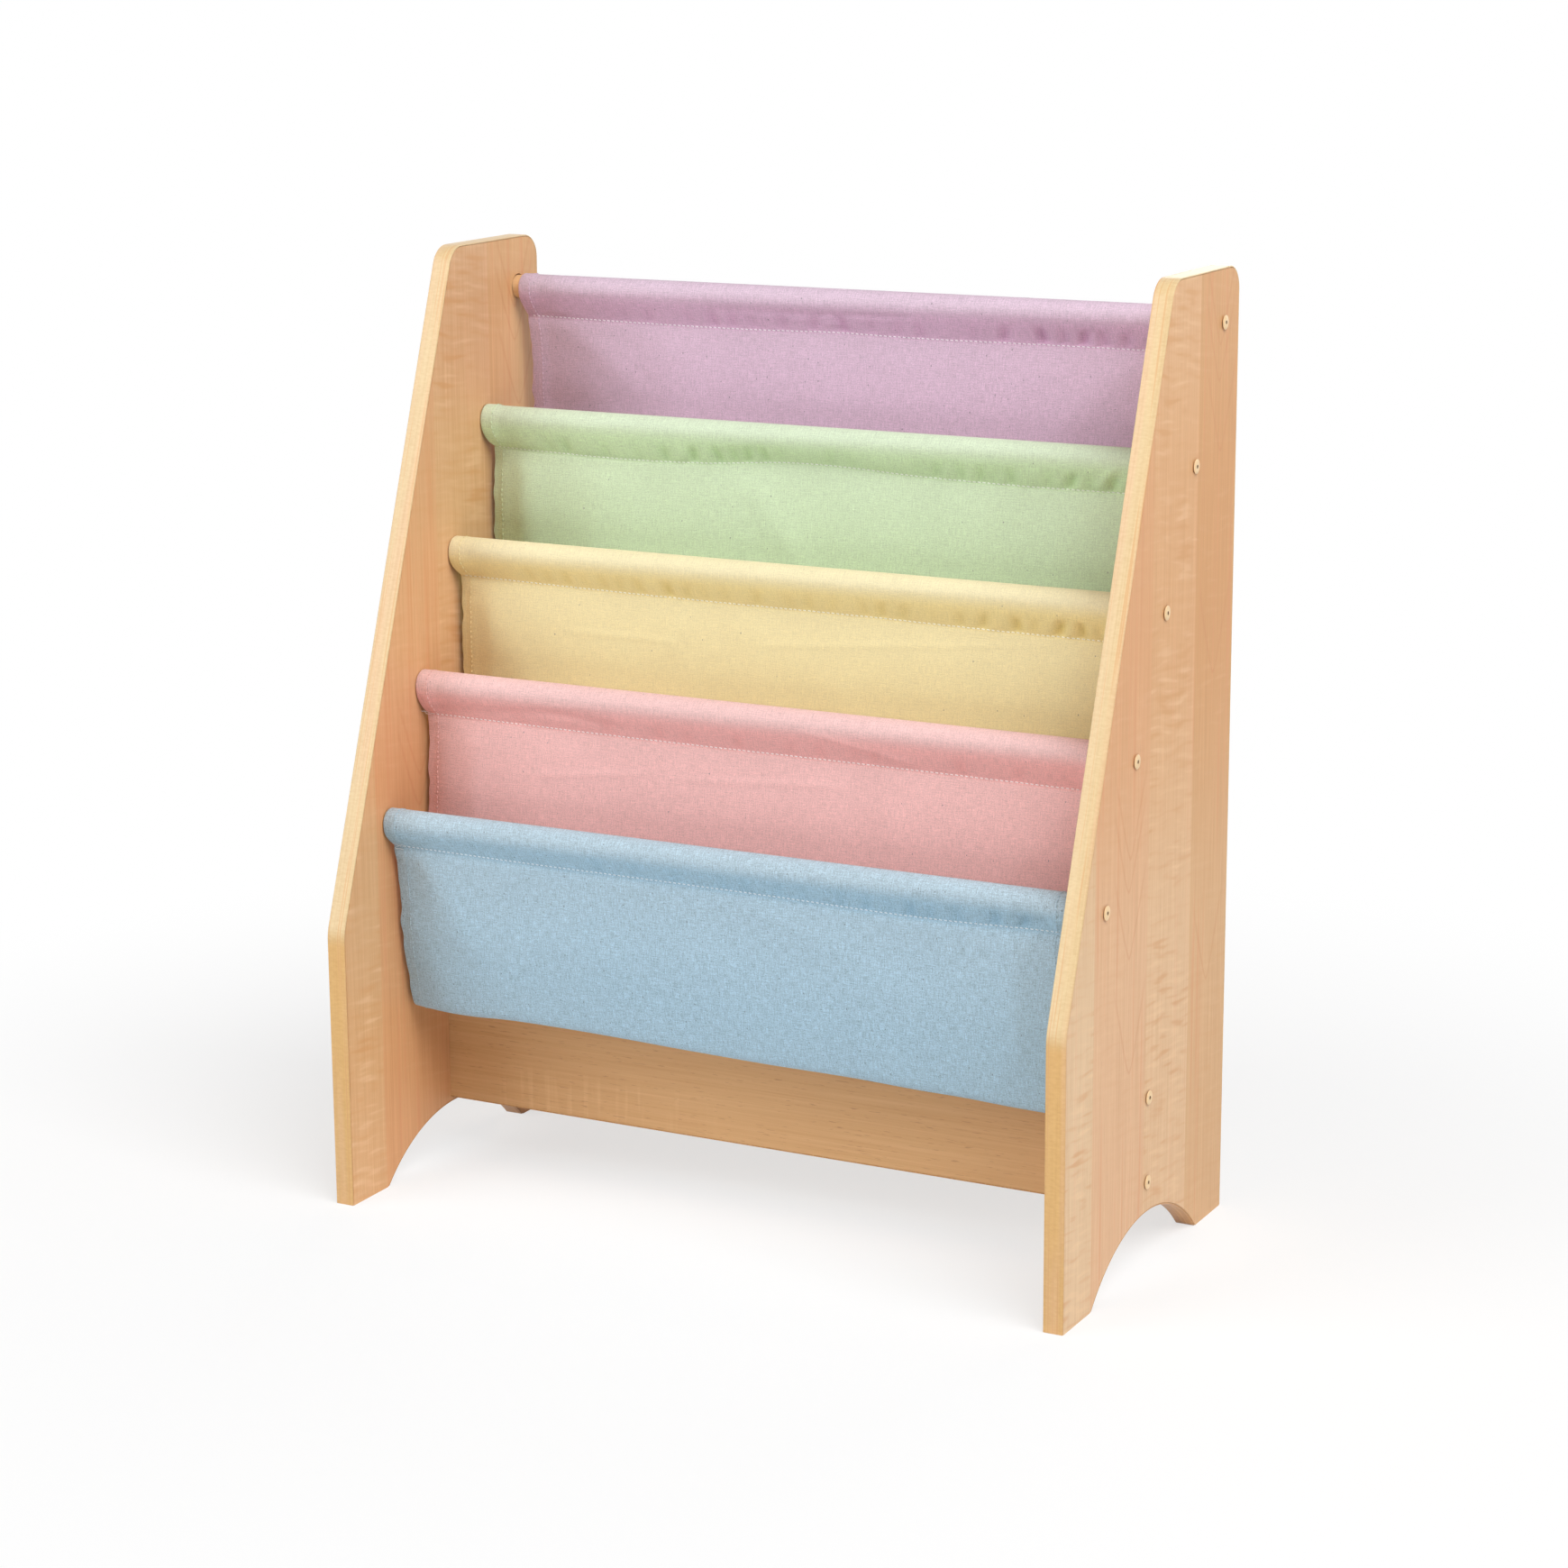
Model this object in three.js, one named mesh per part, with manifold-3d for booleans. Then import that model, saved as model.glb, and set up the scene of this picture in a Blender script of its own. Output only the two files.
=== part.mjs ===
// Children's sling bookshelf: two side panels, a stretcher, five rods and five canvas slings.
// Millimetres, +Z up. The origin is on the floor in the middle of the shelf's footprint.
// The shelf's front faces -Y, and +X is on the viewer's right.

import * as THREE from "three";
import * as BufferGeometryUtils from "three/addons/utils/BufferGeometryUtils.js";
import Module from "manifold-3d";

const wasm = await Module();
wasm.setup();

// Side panels
const panelSpread = 602;
const panelDepth = 298;
const panelHeight = 711;
const panelThickness = 15;
const kneeHeight = 214;
const topSetback = 175;
const topCornerRadius = 18;
const kneeRadius = 30;
const archHalfWidth = 98;
const archRise = 42;
const archShift = 1;
const outerFace = panelSpread / 2;
const innerFace = outerFace - panelThickness;
const frontEdge = -panelDepth / 2;
const rearEdge = panelDepth / 2;

// Edge bands glued round the boards
const bandThickness = 1.2;
const glueLine = 0.1;
const bandFloorGap = 0.5;
const bandInset = bandThickness + glueLine;

// Rods, from the top one down, on one slanted line
const rodCount = 5;
const rodRadius = 9;
const topRodFromRear = 29;
const topRodFromTop = 39.1;
const lowRodFromFront = 66.2;
const lowRodAboveKnee = 72.7;
const topRodY = rearEdge - topRodFromRear;
const topRodZ = panelHeight - topRodFromTop;
const rodStepY = (frontEdge + lowRodFromFront - topRodY) / (rodCount - 1);
const rodStepZ = (kneeHeight + lowRodAboveKnee - topRodZ) / (rodCount - 1);
const socketClearance = 0.7;
const socketRise = 0.35;
const socketDepth = 8;
const rodEndGap = 0.3;

// Stretcher board
const stretcherBottom = 46;
const stretcherHeight = 102;
const stretcherThickness = 18;
const stretcherY = 0.5;
const stretcherScrewSpread = 64;

// Screws
const headRadius = 5.25;
const headHeight = 1.4;
const headCrown = 0.4;
const headCrownRadius = 4.4;
const hexFlats = 3;
const hexDepth = 1;
const shankRadius = 2.5;
const shankLength = 45;
const shankTip = 4;
const shankTipRadius = 1;
const holeClearance = 0.4;
const pilotClearance = 0.3;
const pilotOverrun = 2;
const cutOverrun = 2;

// Canvas slings
const cloth = 1.2;
const clothMargin = 5;
const clothWidth = 2 * (innerFace - clothMargin);
const sleeveClearance = 0.4;
const seamGap = 0.2;
const neckDrop = 3;
const sideDrawIn = 4.5;
const troughDepth = 2.5;
const troughFromEdge = 32;
const troughWidth = 14;
const waveHeight = 1.4;
const waveLength = 190;
const foldRadius = 12;
const foldBack = 24.5;
const foldDrop = 141;
const lapHeight = 20;
const lapGap = 0.3;
const lapLift = 3;
const waveTop = 24;
const waveEnd = 114;

// Counts of flats on round and draped shapes
const rodSides = 24;
const socketSides = 24;
const holeSides = 12;
const headSides = 16;
const hexSides = 6;
const cornerSteps = 6;
const kneeSteps = 3;
const archSteps = 24;
const sleeveSteps = 9;
const liningSteps = 8;
const clothSteps = 12;
const wallSteps = 7;
const frontWallSteps = 6;
const foldSteps = 7;

const finishes = {
  laminate: { color: 0xdfb890, roughness: 0.5 },
  edgeBand: { color: 0xf3d49c, roughness: 0.45 },
  rodWood: { color: 0xd9ae74, roughness: 0.6 },
  screwPaint: { color: 0xf5d7a6, roughness: 0.4 },
  lilac: { color: 0xcfa9c8, roughness: 0.95 },
  green: { color: 0xc0dcae, roughness: 0.95 },
  yellow: { color: 0xf0dca0, roughness: 0.95 },
  pink: { color: 0xecb5b3, roughness: 0.95 },
  blue: { color: 0xaac6d8, roughness: 0.95 },
};

// Each sling: its place sideways, its stitch line below the rod, where its waves start,
// how far its sheet leans back or forward, and how far its fold droops on the right
const slings = [
  { name: "sling_lilac", finish: "lilac", shift: 1, seam: 22, wave: 0.4, drift: 2, droop: 0 },
  { name: "sling_green", finish: "green", shift: -4, seam: 21.5, wave: 1.9, drift: -6, droop: 0 },
  { name: "sling_yellow", finish: "yellow", shift: -4, seam: 21.5, wave: 3.1, drift: -5, droop: 0 },
  { name: "sling_pink", finish: "pink", shift: -4, seam: 22, wave: 4.6, drift: -6, droop: 0 },
  { name: "sling_blue", finish: "blue", shift: -4, seam: 17.2, wave: 5.5, drift: 0, droop: 7 },
];

function material(finish) {
  const { color, roughness } = finishes[finish];
  return new THREE.MeshStandardMaterial({ color, roughness, metalness: 0 });
}

// Geometry turned so that its own x, y and z lie along the shelf's Y, Z and X.
function acrossShelf(geometry) {
  const turn = new THREE.Matrix4().makeBasis(
    new THREE.Vector3(0, 1, 0),
    new THREE.Vector3(0, 0, 1),
    new THREE.Vector3(1, 0, 0),
  );
  return geometry.applyMatrix4(turn);
}

function solid(geometry) {
  const bare = geometry.clone();
  bare.deleteAttribute("normal");
  bare.deleteAttribute("uv");
  const merged = BufferGeometryUtils.mergeVertices(bare);
  const vertProperties = new Float32Array(merged.attributes.position.array);
  const triVerts = new Uint32Array(merged.index.array);
  return new wasm.Manifold(new wasm.Mesh({ numProp: 3, vertProperties, triVerts }));
}

function geometryOf(body) {
  const mesh = body.getMesh();
  const geometry = new THREE.BufferGeometry();
  geometry.setAttribute("position", new THREE.BufferAttribute(new Float32Array(mesh.vertProperties), 3));
  geometry.setIndex(new THREE.BufferAttribute(new Uint32Array(mesh.triVerts), 1));
  geometry.computeVertexNormals();
  return geometry;
}

function cut(geometry, cutters) {
  let body = solid(geometry);
  for (const cutter of cutters) {
    body = body.subtract(solid(cutter));
  }
  return geometryOf(body);
}

// Cylinder along X from one x to another, on an axis at (y, z).
function bar(fromX, toX, y, z, radius, sides) {
  const geometry = new THREE.CylinderGeometry(radius, radius, Math.abs(toX - fromX), sides);
  geometry.rotateZ(Math.PI / 2);
  return geometry.translate((fromX + toX) / 2, y, z);
}

function arc(centreY, centreZ, radius, fromAngle, toAngle, steps) {
  const points = [];
  for (let i = 0; i <= steps; i += 1) {
    const angle = fromAngle + ((toAngle - fromAngle) * i) / steps;
    points.push(new THREE.Vector2(centreY + radius * Math.cos(angle), centreZ + radius * Math.sin(angle)));
  }
  return points;
}

// The panel's outer edge from the front foot over the top to the rear foot, set in by some amount.
function edgeLine(inset, floor) {
  const slant = Math.atan2(panelHeight - kneeHeight, topSetback);
  const front = frontEdge + inset;
  const rear = rearEdge - inset;
  const top = panelHeight - inset;
  const out = new THREE.Vector2(-Math.sin(slant), Math.cos(slant));
  const slantStart = new THREE.Vector2(frontEdge, kneeHeight).addScaledVector(out, -inset);
  const kneeTurn = Math.PI / 2 - slant;
  const cornerTurn = slant;
  const kneeZ = slantStart.y + (front - slantStart.x) * Math.tan(slant);
  const cornerY = slantStart.x + (top - slantStart.y) / Math.tan(slant);
  const kneeBend = kneeRadius - inset;
  const kneeTangent = kneeBend * Math.tan(kneeTurn / 2);
  const cornerBend = topCornerRadius - inset;
  const cornerTangent = cornerBend * Math.tan(cornerTurn / 2);
  return [
    new THREE.Vector2(front, floor),
    ...arc(front + kneeBend, kneeZ - kneeTangent, kneeBend, Math.PI, Math.PI - kneeTurn, kneeSteps),
    ...arc(
      cornerY + cornerTangent,
      top - cornerBend,
      cornerBend,
      Math.PI / 2 + cornerTurn,
      Math.PI / 2,
      cornerSteps,
    ),
    ...arc(rear - cornerBend, top - cornerBend, cornerBend, Math.PI / 2, 0, cornerSteps),
    new THREE.Vector2(rear, floor),
  ];
}

const archRadius = (archHalfWidth ** 2 + archRise ** 2) / (2 * archRise);

// The arch's line from the rear foot to the front foot, at some distance inside the board.
function archLine(inset, floor) {
  const radius = archRadius + inset;
  const centreZ = archRise - archRadius;
  const reach = Math.asin((floor - centreZ) / radius);
  return arc(-archShift, centreZ, radius, reach, Math.PI - reach, archSteps);
}

function plate(points, thickness) {
  const shape = new THREE.Shape(points);
  return new THREE.ExtrudeGeometry(shape, { depth: thickness, bevelEnabled: false });
}

const rods = [];
for (let i = 0; i < rodCount; i += 1) {
  rods.push({ y: topRodY + rodStepY * i, z: topRodZ + rodStepZ * i });
}
const stretcherMiddle = stretcherBottom + stretcherHeight / 2;
const stretcherScrews = [
  { y: stretcherY, z: stretcherMiddle + stretcherScrewSpread / 2, place: "upper" },
  { y: stretcherY, z: stretcherMiddle - stretcherScrewSpread / 2, place: "lower" },
];

// A side panel's board, with blind sockets for the rods and holes for the screws.
function panelBoard(side) {
  const board = plate([...edgeLine(bandInset, 0), ...archLine(bandInset, 0)], panelThickness);
  acrossShelf(board).translate(side > 0 ? innerFace : -outerFace, 0, 0);
  const cutters = [];
  for (const rod of rods) {
    const socketRadius = rodRadius + socketClearance;
    cutters.push(
      bar(
        side * (innerFace - cutOverrun),
        side * (innerFace + socketDepth),
        rod.y,
        rod.z + socketRise,
        socketRadius,
        socketSides,
      ),
    );
  }
  for (const screw of [...rods, ...stretcherScrews]) {
    cutters.push(
      bar(
        side * (innerFace - cutOverrun),
        side * (outerFace + cutOverrun),
        screw.y,
        screw.z,
        shankRadius + holeClearance,
        holeSides,
      ),
    );
  }
  return cut(board, cutters);
}

function outerBand(side) {
  const strip = [...edgeLine(0, bandFloorGap), ...edgeLine(bandThickness, bandFloorGap).reverse()];
  return acrossShelf(plate(strip, panelThickness)).translate(side > 0 ? innerFace : -outerFace, 0, 0);
}

function archBand(side) {
  const strip = [...archLine(0, bandFloorGap), ...archLine(bandThickness, bandFloorGap).reverse()];
  return acrossShelf(plate(strip, panelThickness)).translate(side > 0 ? innerFace : -outerFace, 0, 0);
}

// A screw with its head's underside at x = 0 and its shank towards -X.
function screwGeometry() {
  const profile = [
    [0, headHeight],
    [headCrownRadius, headHeight],
    [headRadius, headHeight - headCrown],
    [headRadius, 0],
    [shankRadius, 0],
    [shankRadius, shankTip - shankLength],
    [shankTipRadius, -shankLength],
    [0, -shankLength],
  ];
  const points = profile.map(([radius, height]) => new THREE.Vector2(radius, height)).reverse();
  const screw = new THREE.LatheGeometry(points, headSides);
  const hexRadius = hexFlats / 2 / Math.cos(Math.PI / hexSides);
  const hexLength = hexDepth + cutOverrun;
  const hex = new THREE.CylinderGeometry(hexRadius, hexRadius, hexLength, hexSides);
  hex.translate(0, headHeight - hexDepth + hexLength / 2, 0);
  return cut(screw, [hex]).rotateZ(-Math.PI / 2);
}

function rodGeometry() {
  const length = 2 * (innerFace + socketDepth - rodEndGap);
  const pilotRadius = shankRadius + pilotClearance;
  const pilotEnd = outerFace - shankLength - pilotOverrun;
  const rod = bar(-length / 2, length / 2, 0, 0, rodRadius, rodSides);
  return cut(rod, [
    bar(-length / 2 - cutOverrun, -pilotEnd, 0, 0, pilotRadius, holeSides),
    bar(pilotEnd, length / 2 + cutOverrun, 0, 0, pilotRadius, holeSides),
  ]);
}

function stretcherBoard() {
  const height = stretcherHeight - 2 * bandInset;
  const board = new THREE.BoxGeometry(2 * innerFace, stretcherThickness, height);
  board.translate(0, stretcherY, stretcherMiddle);
  const pilotRadius = shankRadius + pilotClearance;
  const pilotEnd = outerFace - shankLength - pilotOverrun;
  const cutters = [];
  for (const screw of stretcherScrews) {
    for (const side of [-1, 1]) {
      cutters.push(
        bar(side * pilotEnd, side * (innerFace + cutOverrun), screw.y, screw.z, pilotRadius, holeSides),
      );
    }
  }
  return cut(board, cutters);
}

function stretcherBand(bottom) {
  const band = new THREE.BoxGeometry(2 * innerFace, stretcherThickness, bandThickness);
  return band.translate(0, stretcherY, bottom + bandThickness / 2);
}

// Places one sheet's two faces, each half the cloth away from a line of [back, up] points.
function faces(line, thickness) {
  const left = [];
  const right = [];
  for (let i = 0; i < line.length; i += 1) {
    const before = line[Math.max(i - 1, 0)];
    const after = line[Math.min(i + 1, line.length - 1)];
    const along = after.clone().sub(before).normalize();
    const away = new THREE.Vector2(-along.y, along.x).multiplyScalar(thickness / 2);
    left.push(line[i].clone().add(away));
    right.push(line[i].clone().sub(away));
  }
  return { left, right };
}

// The back wall of the pocket in front of a rod: from the seam down to the lap with the next sling.
function backWall(sling) {
  const start = cloth / 2 + seamGap / 2;
  const lapBack = rodStepY + foldBack + foldRadius - cloth - lapGap;
  const lapTop = rodStepZ - foldDrop + lapLift + lapHeight;
  const curve = new THREE.SplineCurve([
    new THREE.Vector2(-start, -sling.seam - neckDrop),
    new THREE.Vector2(sling.drift * driftShares[0], -sling.seam * wallDropShares[0]),
    new THREE.Vector2(sling.drift, -sling.seam * wallDropShares[1]),
    new THREE.Vector2(lapBack, lapTop),
  ]);
  const points = curve.getPoints(wallSteps);
  points.push(new THREE.Vector2(lapBack, lapTop - lapHeight));
  return points;
}

// The front wall of the pocket behind a rod, its rounded bottom and the strip that rises behind it.
function frontWall(sling) {
  const start = cloth / 2 + seamGap / 2;
  const curve = new THREE.SplineCurve([
    new THREE.Vector2(start, -sling.seam - neckDrop),
    new THREE.Vector2(0, -foldDrop * frontDropShares[0]),
    new THREE.Vector2(foldRadius * frontBackShares[0], -foldDrop * frontDropShares[1]),
    new THREE.Vector2(foldRadius * frontBackShares[1], -foldDrop * frontDropShares[2]),
    new THREE.Vector2(foldBack - foldRadius, -foldDrop),
  ]);
  const fold = arc(foldBack, -foldDrop, foldRadius, Math.PI, 2 * Math.PI, foldSteps).slice(1);
  const rise = new THREE.Vector2(foldBack + foldRadius, -foldDrop + lapLift + lapHeight);
  return [...curve.getPoints(frontWallSteps), ...fold, rise];
}

// Shares of the seam's depth, of the drift and of the fold's sizes that the sheets pass through
const wallDropShares = [2.4, 4.4];
const driftShares = [0.85];
const frontDropShares = [0.42, 0.7, 0.87];
const frontBackShares = [0.22, 0.62];

// The point where a line from the neck touches the sleeve, as an angle on the sleeve's circle.
function touchAngle(radius, halfNeck, drop) {
  const reach = Math.hypot(halfNeck, drop);
  return -Math.PI / 2 + Math.atan2(halfNeck, drop) + Math.acos(radius / reach);
}

// A sling's section across the rod, with the rod's axis at the origin.
function slingSection(sling, hasBackWall, hasFrontWall) {
  const lining = rodRadius + sleeveClearance;
  const skin = lining + cloth;
  const neck = cloth + seamGap / 2;
  const touch = touchAngle(skin, neck, sling.seam);
  const outline = arc(0, 0, skin, touch, Math.PI - touch, sleeveSteps);
  outline.push(new THREE.Vector2(-neck, -sling.seam));
  if (hasBackWall) {
    const { left, right } = faces(backWall(sling), cloth);
    outline.push(...right, ...left.reverse());
  }
  if (hasBackWall && hasFrontWall) {
    outline.push(new THREE.Vector2(0, -sling.seam - seamGap));
  }
  if (hasFrontWall) {
    const { left, right } = faces(frontWall(sling), cloth);
    outline.push(...right, ...left.reverse());
  }
  outline.push(new THREE.Vector2(neck, -sling.seam));
  const shape = new THREE.Shape(outline);
  const liningDrop = sling.seam - 2 * cloth;
  const liningTouch = touchAngle(lining, 0, liningDrop);
  const hole = arc(0, 0, lining, liningTouch, Math.PI - liningTouch, liningSteps);
  hole.push(new THREE.Vector2(0, -liningDrop));
  shape.holes.push(new THREE.Path(hole));
  return shape;
}

function smooth(value) {
  const t = Math.min(Math.max(value, 0), 1);
  return t * t * (3 - 2 * t);
}

// The cloth's hang: denser steps near the side hems, sides drawn in below the sleeve,
// a trough inside each side hem, soft waves between them, and the lowest fold's droop.
function drape(geometry, sling) {
  const places = geometry.attributes.position;
  const half = clothWidth / 2;
  const place = new THREE.Vector3();
  for (let i = 0; i < places.count; i += 1) {
    place.fromBufferAttribute(places, i);
    const across = Math.sin(((place.x / half) * Math.PI) / 2);
    const depth = -place.z;
    const below = smooth((depth - rodRadius) / (sling.seam - rodRadius));
    const sheet = smooth((depth - waveTop) / waveTop) * (1 - smooth((depth - waveEnd + waveTop) / waveTop));
    const fromEdge = half * (1 - Math.abs(across));
    const trough = troughDepth * Math.exp(-(((fromEdge - troughFromEdge) / troughWidth) ** 2));
    const calm = smooth(fromEdge / troughFromEdge);
    const wave = waveHeight * calm * Math.sin((2 * Math.PI * across * half) / waveLength + sling.wave);
    const droop = sling.droop * smooth((depth - waveEnd) / (foldDrop - waveEnd)) * smooth((across + 1) / 2);
    place.x = across * (half - sideDrawIn * below) + sling.shift;
    place.y += (trough + wave) * sheet;
    place.z -= droop;
    places.setXYZ(i, place.x, place.y, place.z);
  }
  geometry.computeVertexNormals();
  return geometry;
}

function slingGeometry(sling, index) {
  const shape = slingSection(sling, index < rodCount - 1, index > 0);
  const options = { depth: clothWidth, steps: clothSteps, bevelEnabled: false };
  const geometry = new THREE.ExtrudeGeometry(shape, options).translate(0, 0, -clothWidth / 2);
  return drape(acrossShelf(geometry), sling);
}

function mesh(name, geometry, finish, x = 0, y = 0, z = 0) {
  const piece = new THREE.Mesh(geometry, material(finish));
  piece.name = name;
  piece.position.set(x, y, z);
  return piece;
}

function addPanels(shelf) {
  for (const [label, side] of [["left", -1], ["right", 1]]) {
    shelf.add(mesh(`side_panel_${label}`, panelBoard(side), "laminate"));
    shelf.add(mesh(`edge_band_${label}`, outerBand(side), "edgeBand"));
    shelf.add(mesh(`arch_band_${label}`, archBand(side), "edgeBand"));
  }
}

function addStretcher(shelf) {
  const top = stretcherBottom + stretcherHeight;
  shelf.add(mesh("stretcher", stretcherBoard(), "laminate"));
  shelf.add(mesh("stretcher_band_lower", stretcherBand(stretcherBottom), "edgeBand"));
  shelf.add(mesh("stretcher_band_upper", stretcherBand(top - bandThickness), "edgeBand"));
}

function addScrew(shelf, name, side, y, z) {
  const geometry = screwGeometry();
  if (side < 0) {
    geometry.rotateZ(Math.PI);
  }
  shelf.add(mesh(name, geometry, "screwPaint", side * outerFace, y, z));
}

function addRodsAndSlings(shelf) {
  for (let i = 0; i < rodCount; i += 1) {
    const { y, z } = rods[i];
    shelf.add(mesh(`rod_${i + 1}`, rodGeometry(), "rodWood", 0, y, z));
    shelf.add(mesh(slings[i].name, slingGeometry(slings[i], i), slings[i].finish, 0, y, z));
    addScrew(shelf, `rod_screw_left_${i + 1}`, -1, y, z);
    addScrew(shelf, `rod_screw_right_${i + 1}`, 1, y, z);
  }
}

function addStretcherScrews(shelf) {
  for (const { y, z, place } of stretcherScrews) {
    addScrew(shelf, `stretcher_screw_left_${place}`, -1, y, z);
    addScrew(shelf, `stretcher_screw_right_${place}`, 1, y, z);
  }
}

const shelf = new THREE.Group();
addPanels(shelf);
addStretcher(shelf);
addRodsAndSlings(shelf);
addStretcherScrews(shelf);

export default shelf;
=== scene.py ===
# %% [markdown]
# # A sling bookshelf
# A low bookshelf for children: two slanted side boards, a stretcher board between them, five wooden
# rods, and a canvas sling on each rod. The rigid model comes in first and fixes every size and place.
# What Blender adds is the look: eased edges, round rods and screws, sewn cloth, and the finishes.

import math

import bpy
import numpy as np
from mathutils import Matrix, Vector


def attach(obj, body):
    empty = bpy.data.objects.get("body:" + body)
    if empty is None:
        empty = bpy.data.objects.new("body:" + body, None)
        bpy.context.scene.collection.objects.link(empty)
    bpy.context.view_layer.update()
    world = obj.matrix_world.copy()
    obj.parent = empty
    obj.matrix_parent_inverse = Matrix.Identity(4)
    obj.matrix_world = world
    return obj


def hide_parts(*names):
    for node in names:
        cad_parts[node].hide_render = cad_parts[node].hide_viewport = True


MM = 0.001
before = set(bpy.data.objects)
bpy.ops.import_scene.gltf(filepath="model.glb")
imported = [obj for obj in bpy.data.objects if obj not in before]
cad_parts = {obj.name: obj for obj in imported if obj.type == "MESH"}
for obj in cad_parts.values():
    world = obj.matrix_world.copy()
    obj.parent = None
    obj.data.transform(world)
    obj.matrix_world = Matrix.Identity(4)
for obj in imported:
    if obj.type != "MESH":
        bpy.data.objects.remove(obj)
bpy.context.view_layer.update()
bpy.ops.object.select_all(action="DESELECT")

# %% [markdown]
# ## The camera
# The camera's place, turn and lens were worked out from the photograph's own edges: the boards' straight
# lines and the screws give enough points to solve for them. The picture is square, so the 36 mm sensor
# is as high as it is wide.

# %% Set up the camera
lens = bpy.data.cameras.new("camera")
lens.lens = 87.107
lens.sensor_width = 36
lens.clip_start = 0.05
lens.clip_end = 60
camera = bpy.data.objects.new("camera", lens)
camera.location = (1.274667, -2.416076, 0.984338)
camera.rotation_euler = (1.335125, 0.006114, 0.481317)
bpy.context.collection.objects.link(camera)
bpy.context.scene.camera = camera
print("camera stands", round(camera.location.length, 3), "m from the shelf's foot")

# %% [markdown]
# ## Measures
# Every length below is in metres, and repeats the rigid model's own measures where a new piece has to
# fit an old one. X runs to the viewer's right, Y to the back and Z up.

# %% Write down the measures
OUTER = 301 * MM
BOARD = 15 * MM
INNER = OUTER - BOARD
FRONT, REAR = -149 * MM, 149 * MM
TOP = 711 * MM
KNEE = 214 * MM
SETBACK = 175 * MM
SLANT = math.atan2(TOP - KNEE, SETBACK)
ARCH_HALF, ARCH_RISE, ARCH_Y = 98 * MM, 42 * MM, -1 * MM
ARCH_RADIUS = (ARCH_HALF**2 + ARCH_RISE**2) / (2 * ARCH_RISE)
ROD_RADIUS = 9 * MM
RODS = [(120 * MM - 50.7 * MM * i, 671.9 * MM - 96.3 * MM * i) for i in range(5)]
ROD_IN_BOARD = 7.7 * MM
STRETCHER_Y, STRETCHER_LOW, STRETCHER_HIGH, STRETCHER_THICK = 0.5 * MM, 46 * MM, 148 * MM, 18 * MM
STRETCHER_SCREWS = {"upper": 129 * MM, "lower": 65 * MM}
BAND = 1.2 * MM
SIDES = ((-1, "left"), (1, "right"))
WHITE = (1, 1, 1, 1)
print("rods at", [(round(y, 4), round(z, 4)) for y, z in RODS])

# %% [markdown]
# ## Small helpers
# A finished piece sits at the origin with its place in its mesh, rides on the shelf's one body, and
# takes its material. A piece that stands for a rigid node hides that node.

# %% Define the helpers


def active(piece):
    bpy.ops.object.select_all(action="DESELECT")
    piece.select_set(True)
    bpy.context.view_layer.objects.active = piece


def named(name):
    """Names the piece just made, and moves its place, turn and scale into its mesh."""
    piece = bpy.context.object
    piece.name = piece.data.name = name
    bpy.ops.object.transform_apply(location=True, rotation=True, scale=True)
    return piece


def edit(piece, select=None, kind="FACE"):
    """Opens a piece in edit mode with all of it selected, or only the chosen faces, edges or corners."""
    active(piece)
    bpy.ops.object.mode_set(mode="EDIT")
    bpy.ops.mesh.select_mode(type=kind)
    bpy.ops.mesh.select_all(action="SELECT" if select is None else "DESELECT")
    if select is not None:
        bpy.ops.object.mode_set(mode="OBJECT")
        mesh = piece.data
        parts = {"FACE": mesh.polygons, "EDGE": mesh.edges, "VERT": mesh.vertices}[kind]
        for part in parts:
            part.select = bool(select(part))
        bpy.ops.object.mode_set(mode="EDIT")


def done():
    bpy.ops.object.mode_set(mode="OBJECT")


def modify(piece, kind, **settings):
    active(piece)
    modifier = piece.modifiers.new(kind.title(), kind)
    for key, value in settings.items():
        setattr(modifier, key, value)
    bpy.ops.object.modifier_apply(modifier=modifier.name)


def smooth(piece, degrees=40):
    active(piece)
    bpy.ops.object.shade_smooth_by_angle(angle=math.radians(degrees))


def ease_edges(piece, width):
    """Rounds every sharp edge a little, and shades the rest smoothly."""
    modify(piece, "BEVEL", width=width, segments=3, limit_method="ANGLE", angle_limit=math.radians(60))
    smooth(piece)


def linked(name, data):
    """A new piece around a mesh or a curve that was made in code."""
    piece = bpy.data.objects.new(name, data)
    bpy.context.collection.objects.link(piece)
    return piece


def lying_bar(sides, radius, length, location):
    """A round bar along X, added as a primitive."""
    bpy.ops.mesh.primitive_cylinder_add(
        vertices=sides, radius=radius, depth=length, location=location, rotation=(0, math.pi / 2, 0)
    )


def cut_out(piece, cutter):
    modify(piece, "BOOLEAN", operation="DIFFERENCE", object=cutter, solver="EXACT")
    bpy.data.objects.remove(cutter)


def edge_middle(piece, edge):
    a, b = (piece.data.vertices[v].co for v in edge.vertices)
    return (a + b) / 2, (b - a).normalized()


def dress(piece, material):
    piece.data.materials.clear()
    piece.data.materials.append(material)


def finish_piece(piece, material, slot, *nodes):
    dress(piece, material)
    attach(piece, "root")
    if nodes:
        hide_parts(*nodes)
    return piece


print("helpers ready")

# %% [markdown]
# ## Writing finishes as sums
# A finish is a small net of shader nodes. Python can write that net as ordinary maths: a Wire stands for
# a socket, and adding or multiplying two Wires adds a Math node. Everything else goes through the Net's
# one add method, which takes the node's kind, its settings and its sockets. A Finish is the Net of one
# material.

# %% Define Wire, Net and Finish


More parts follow.
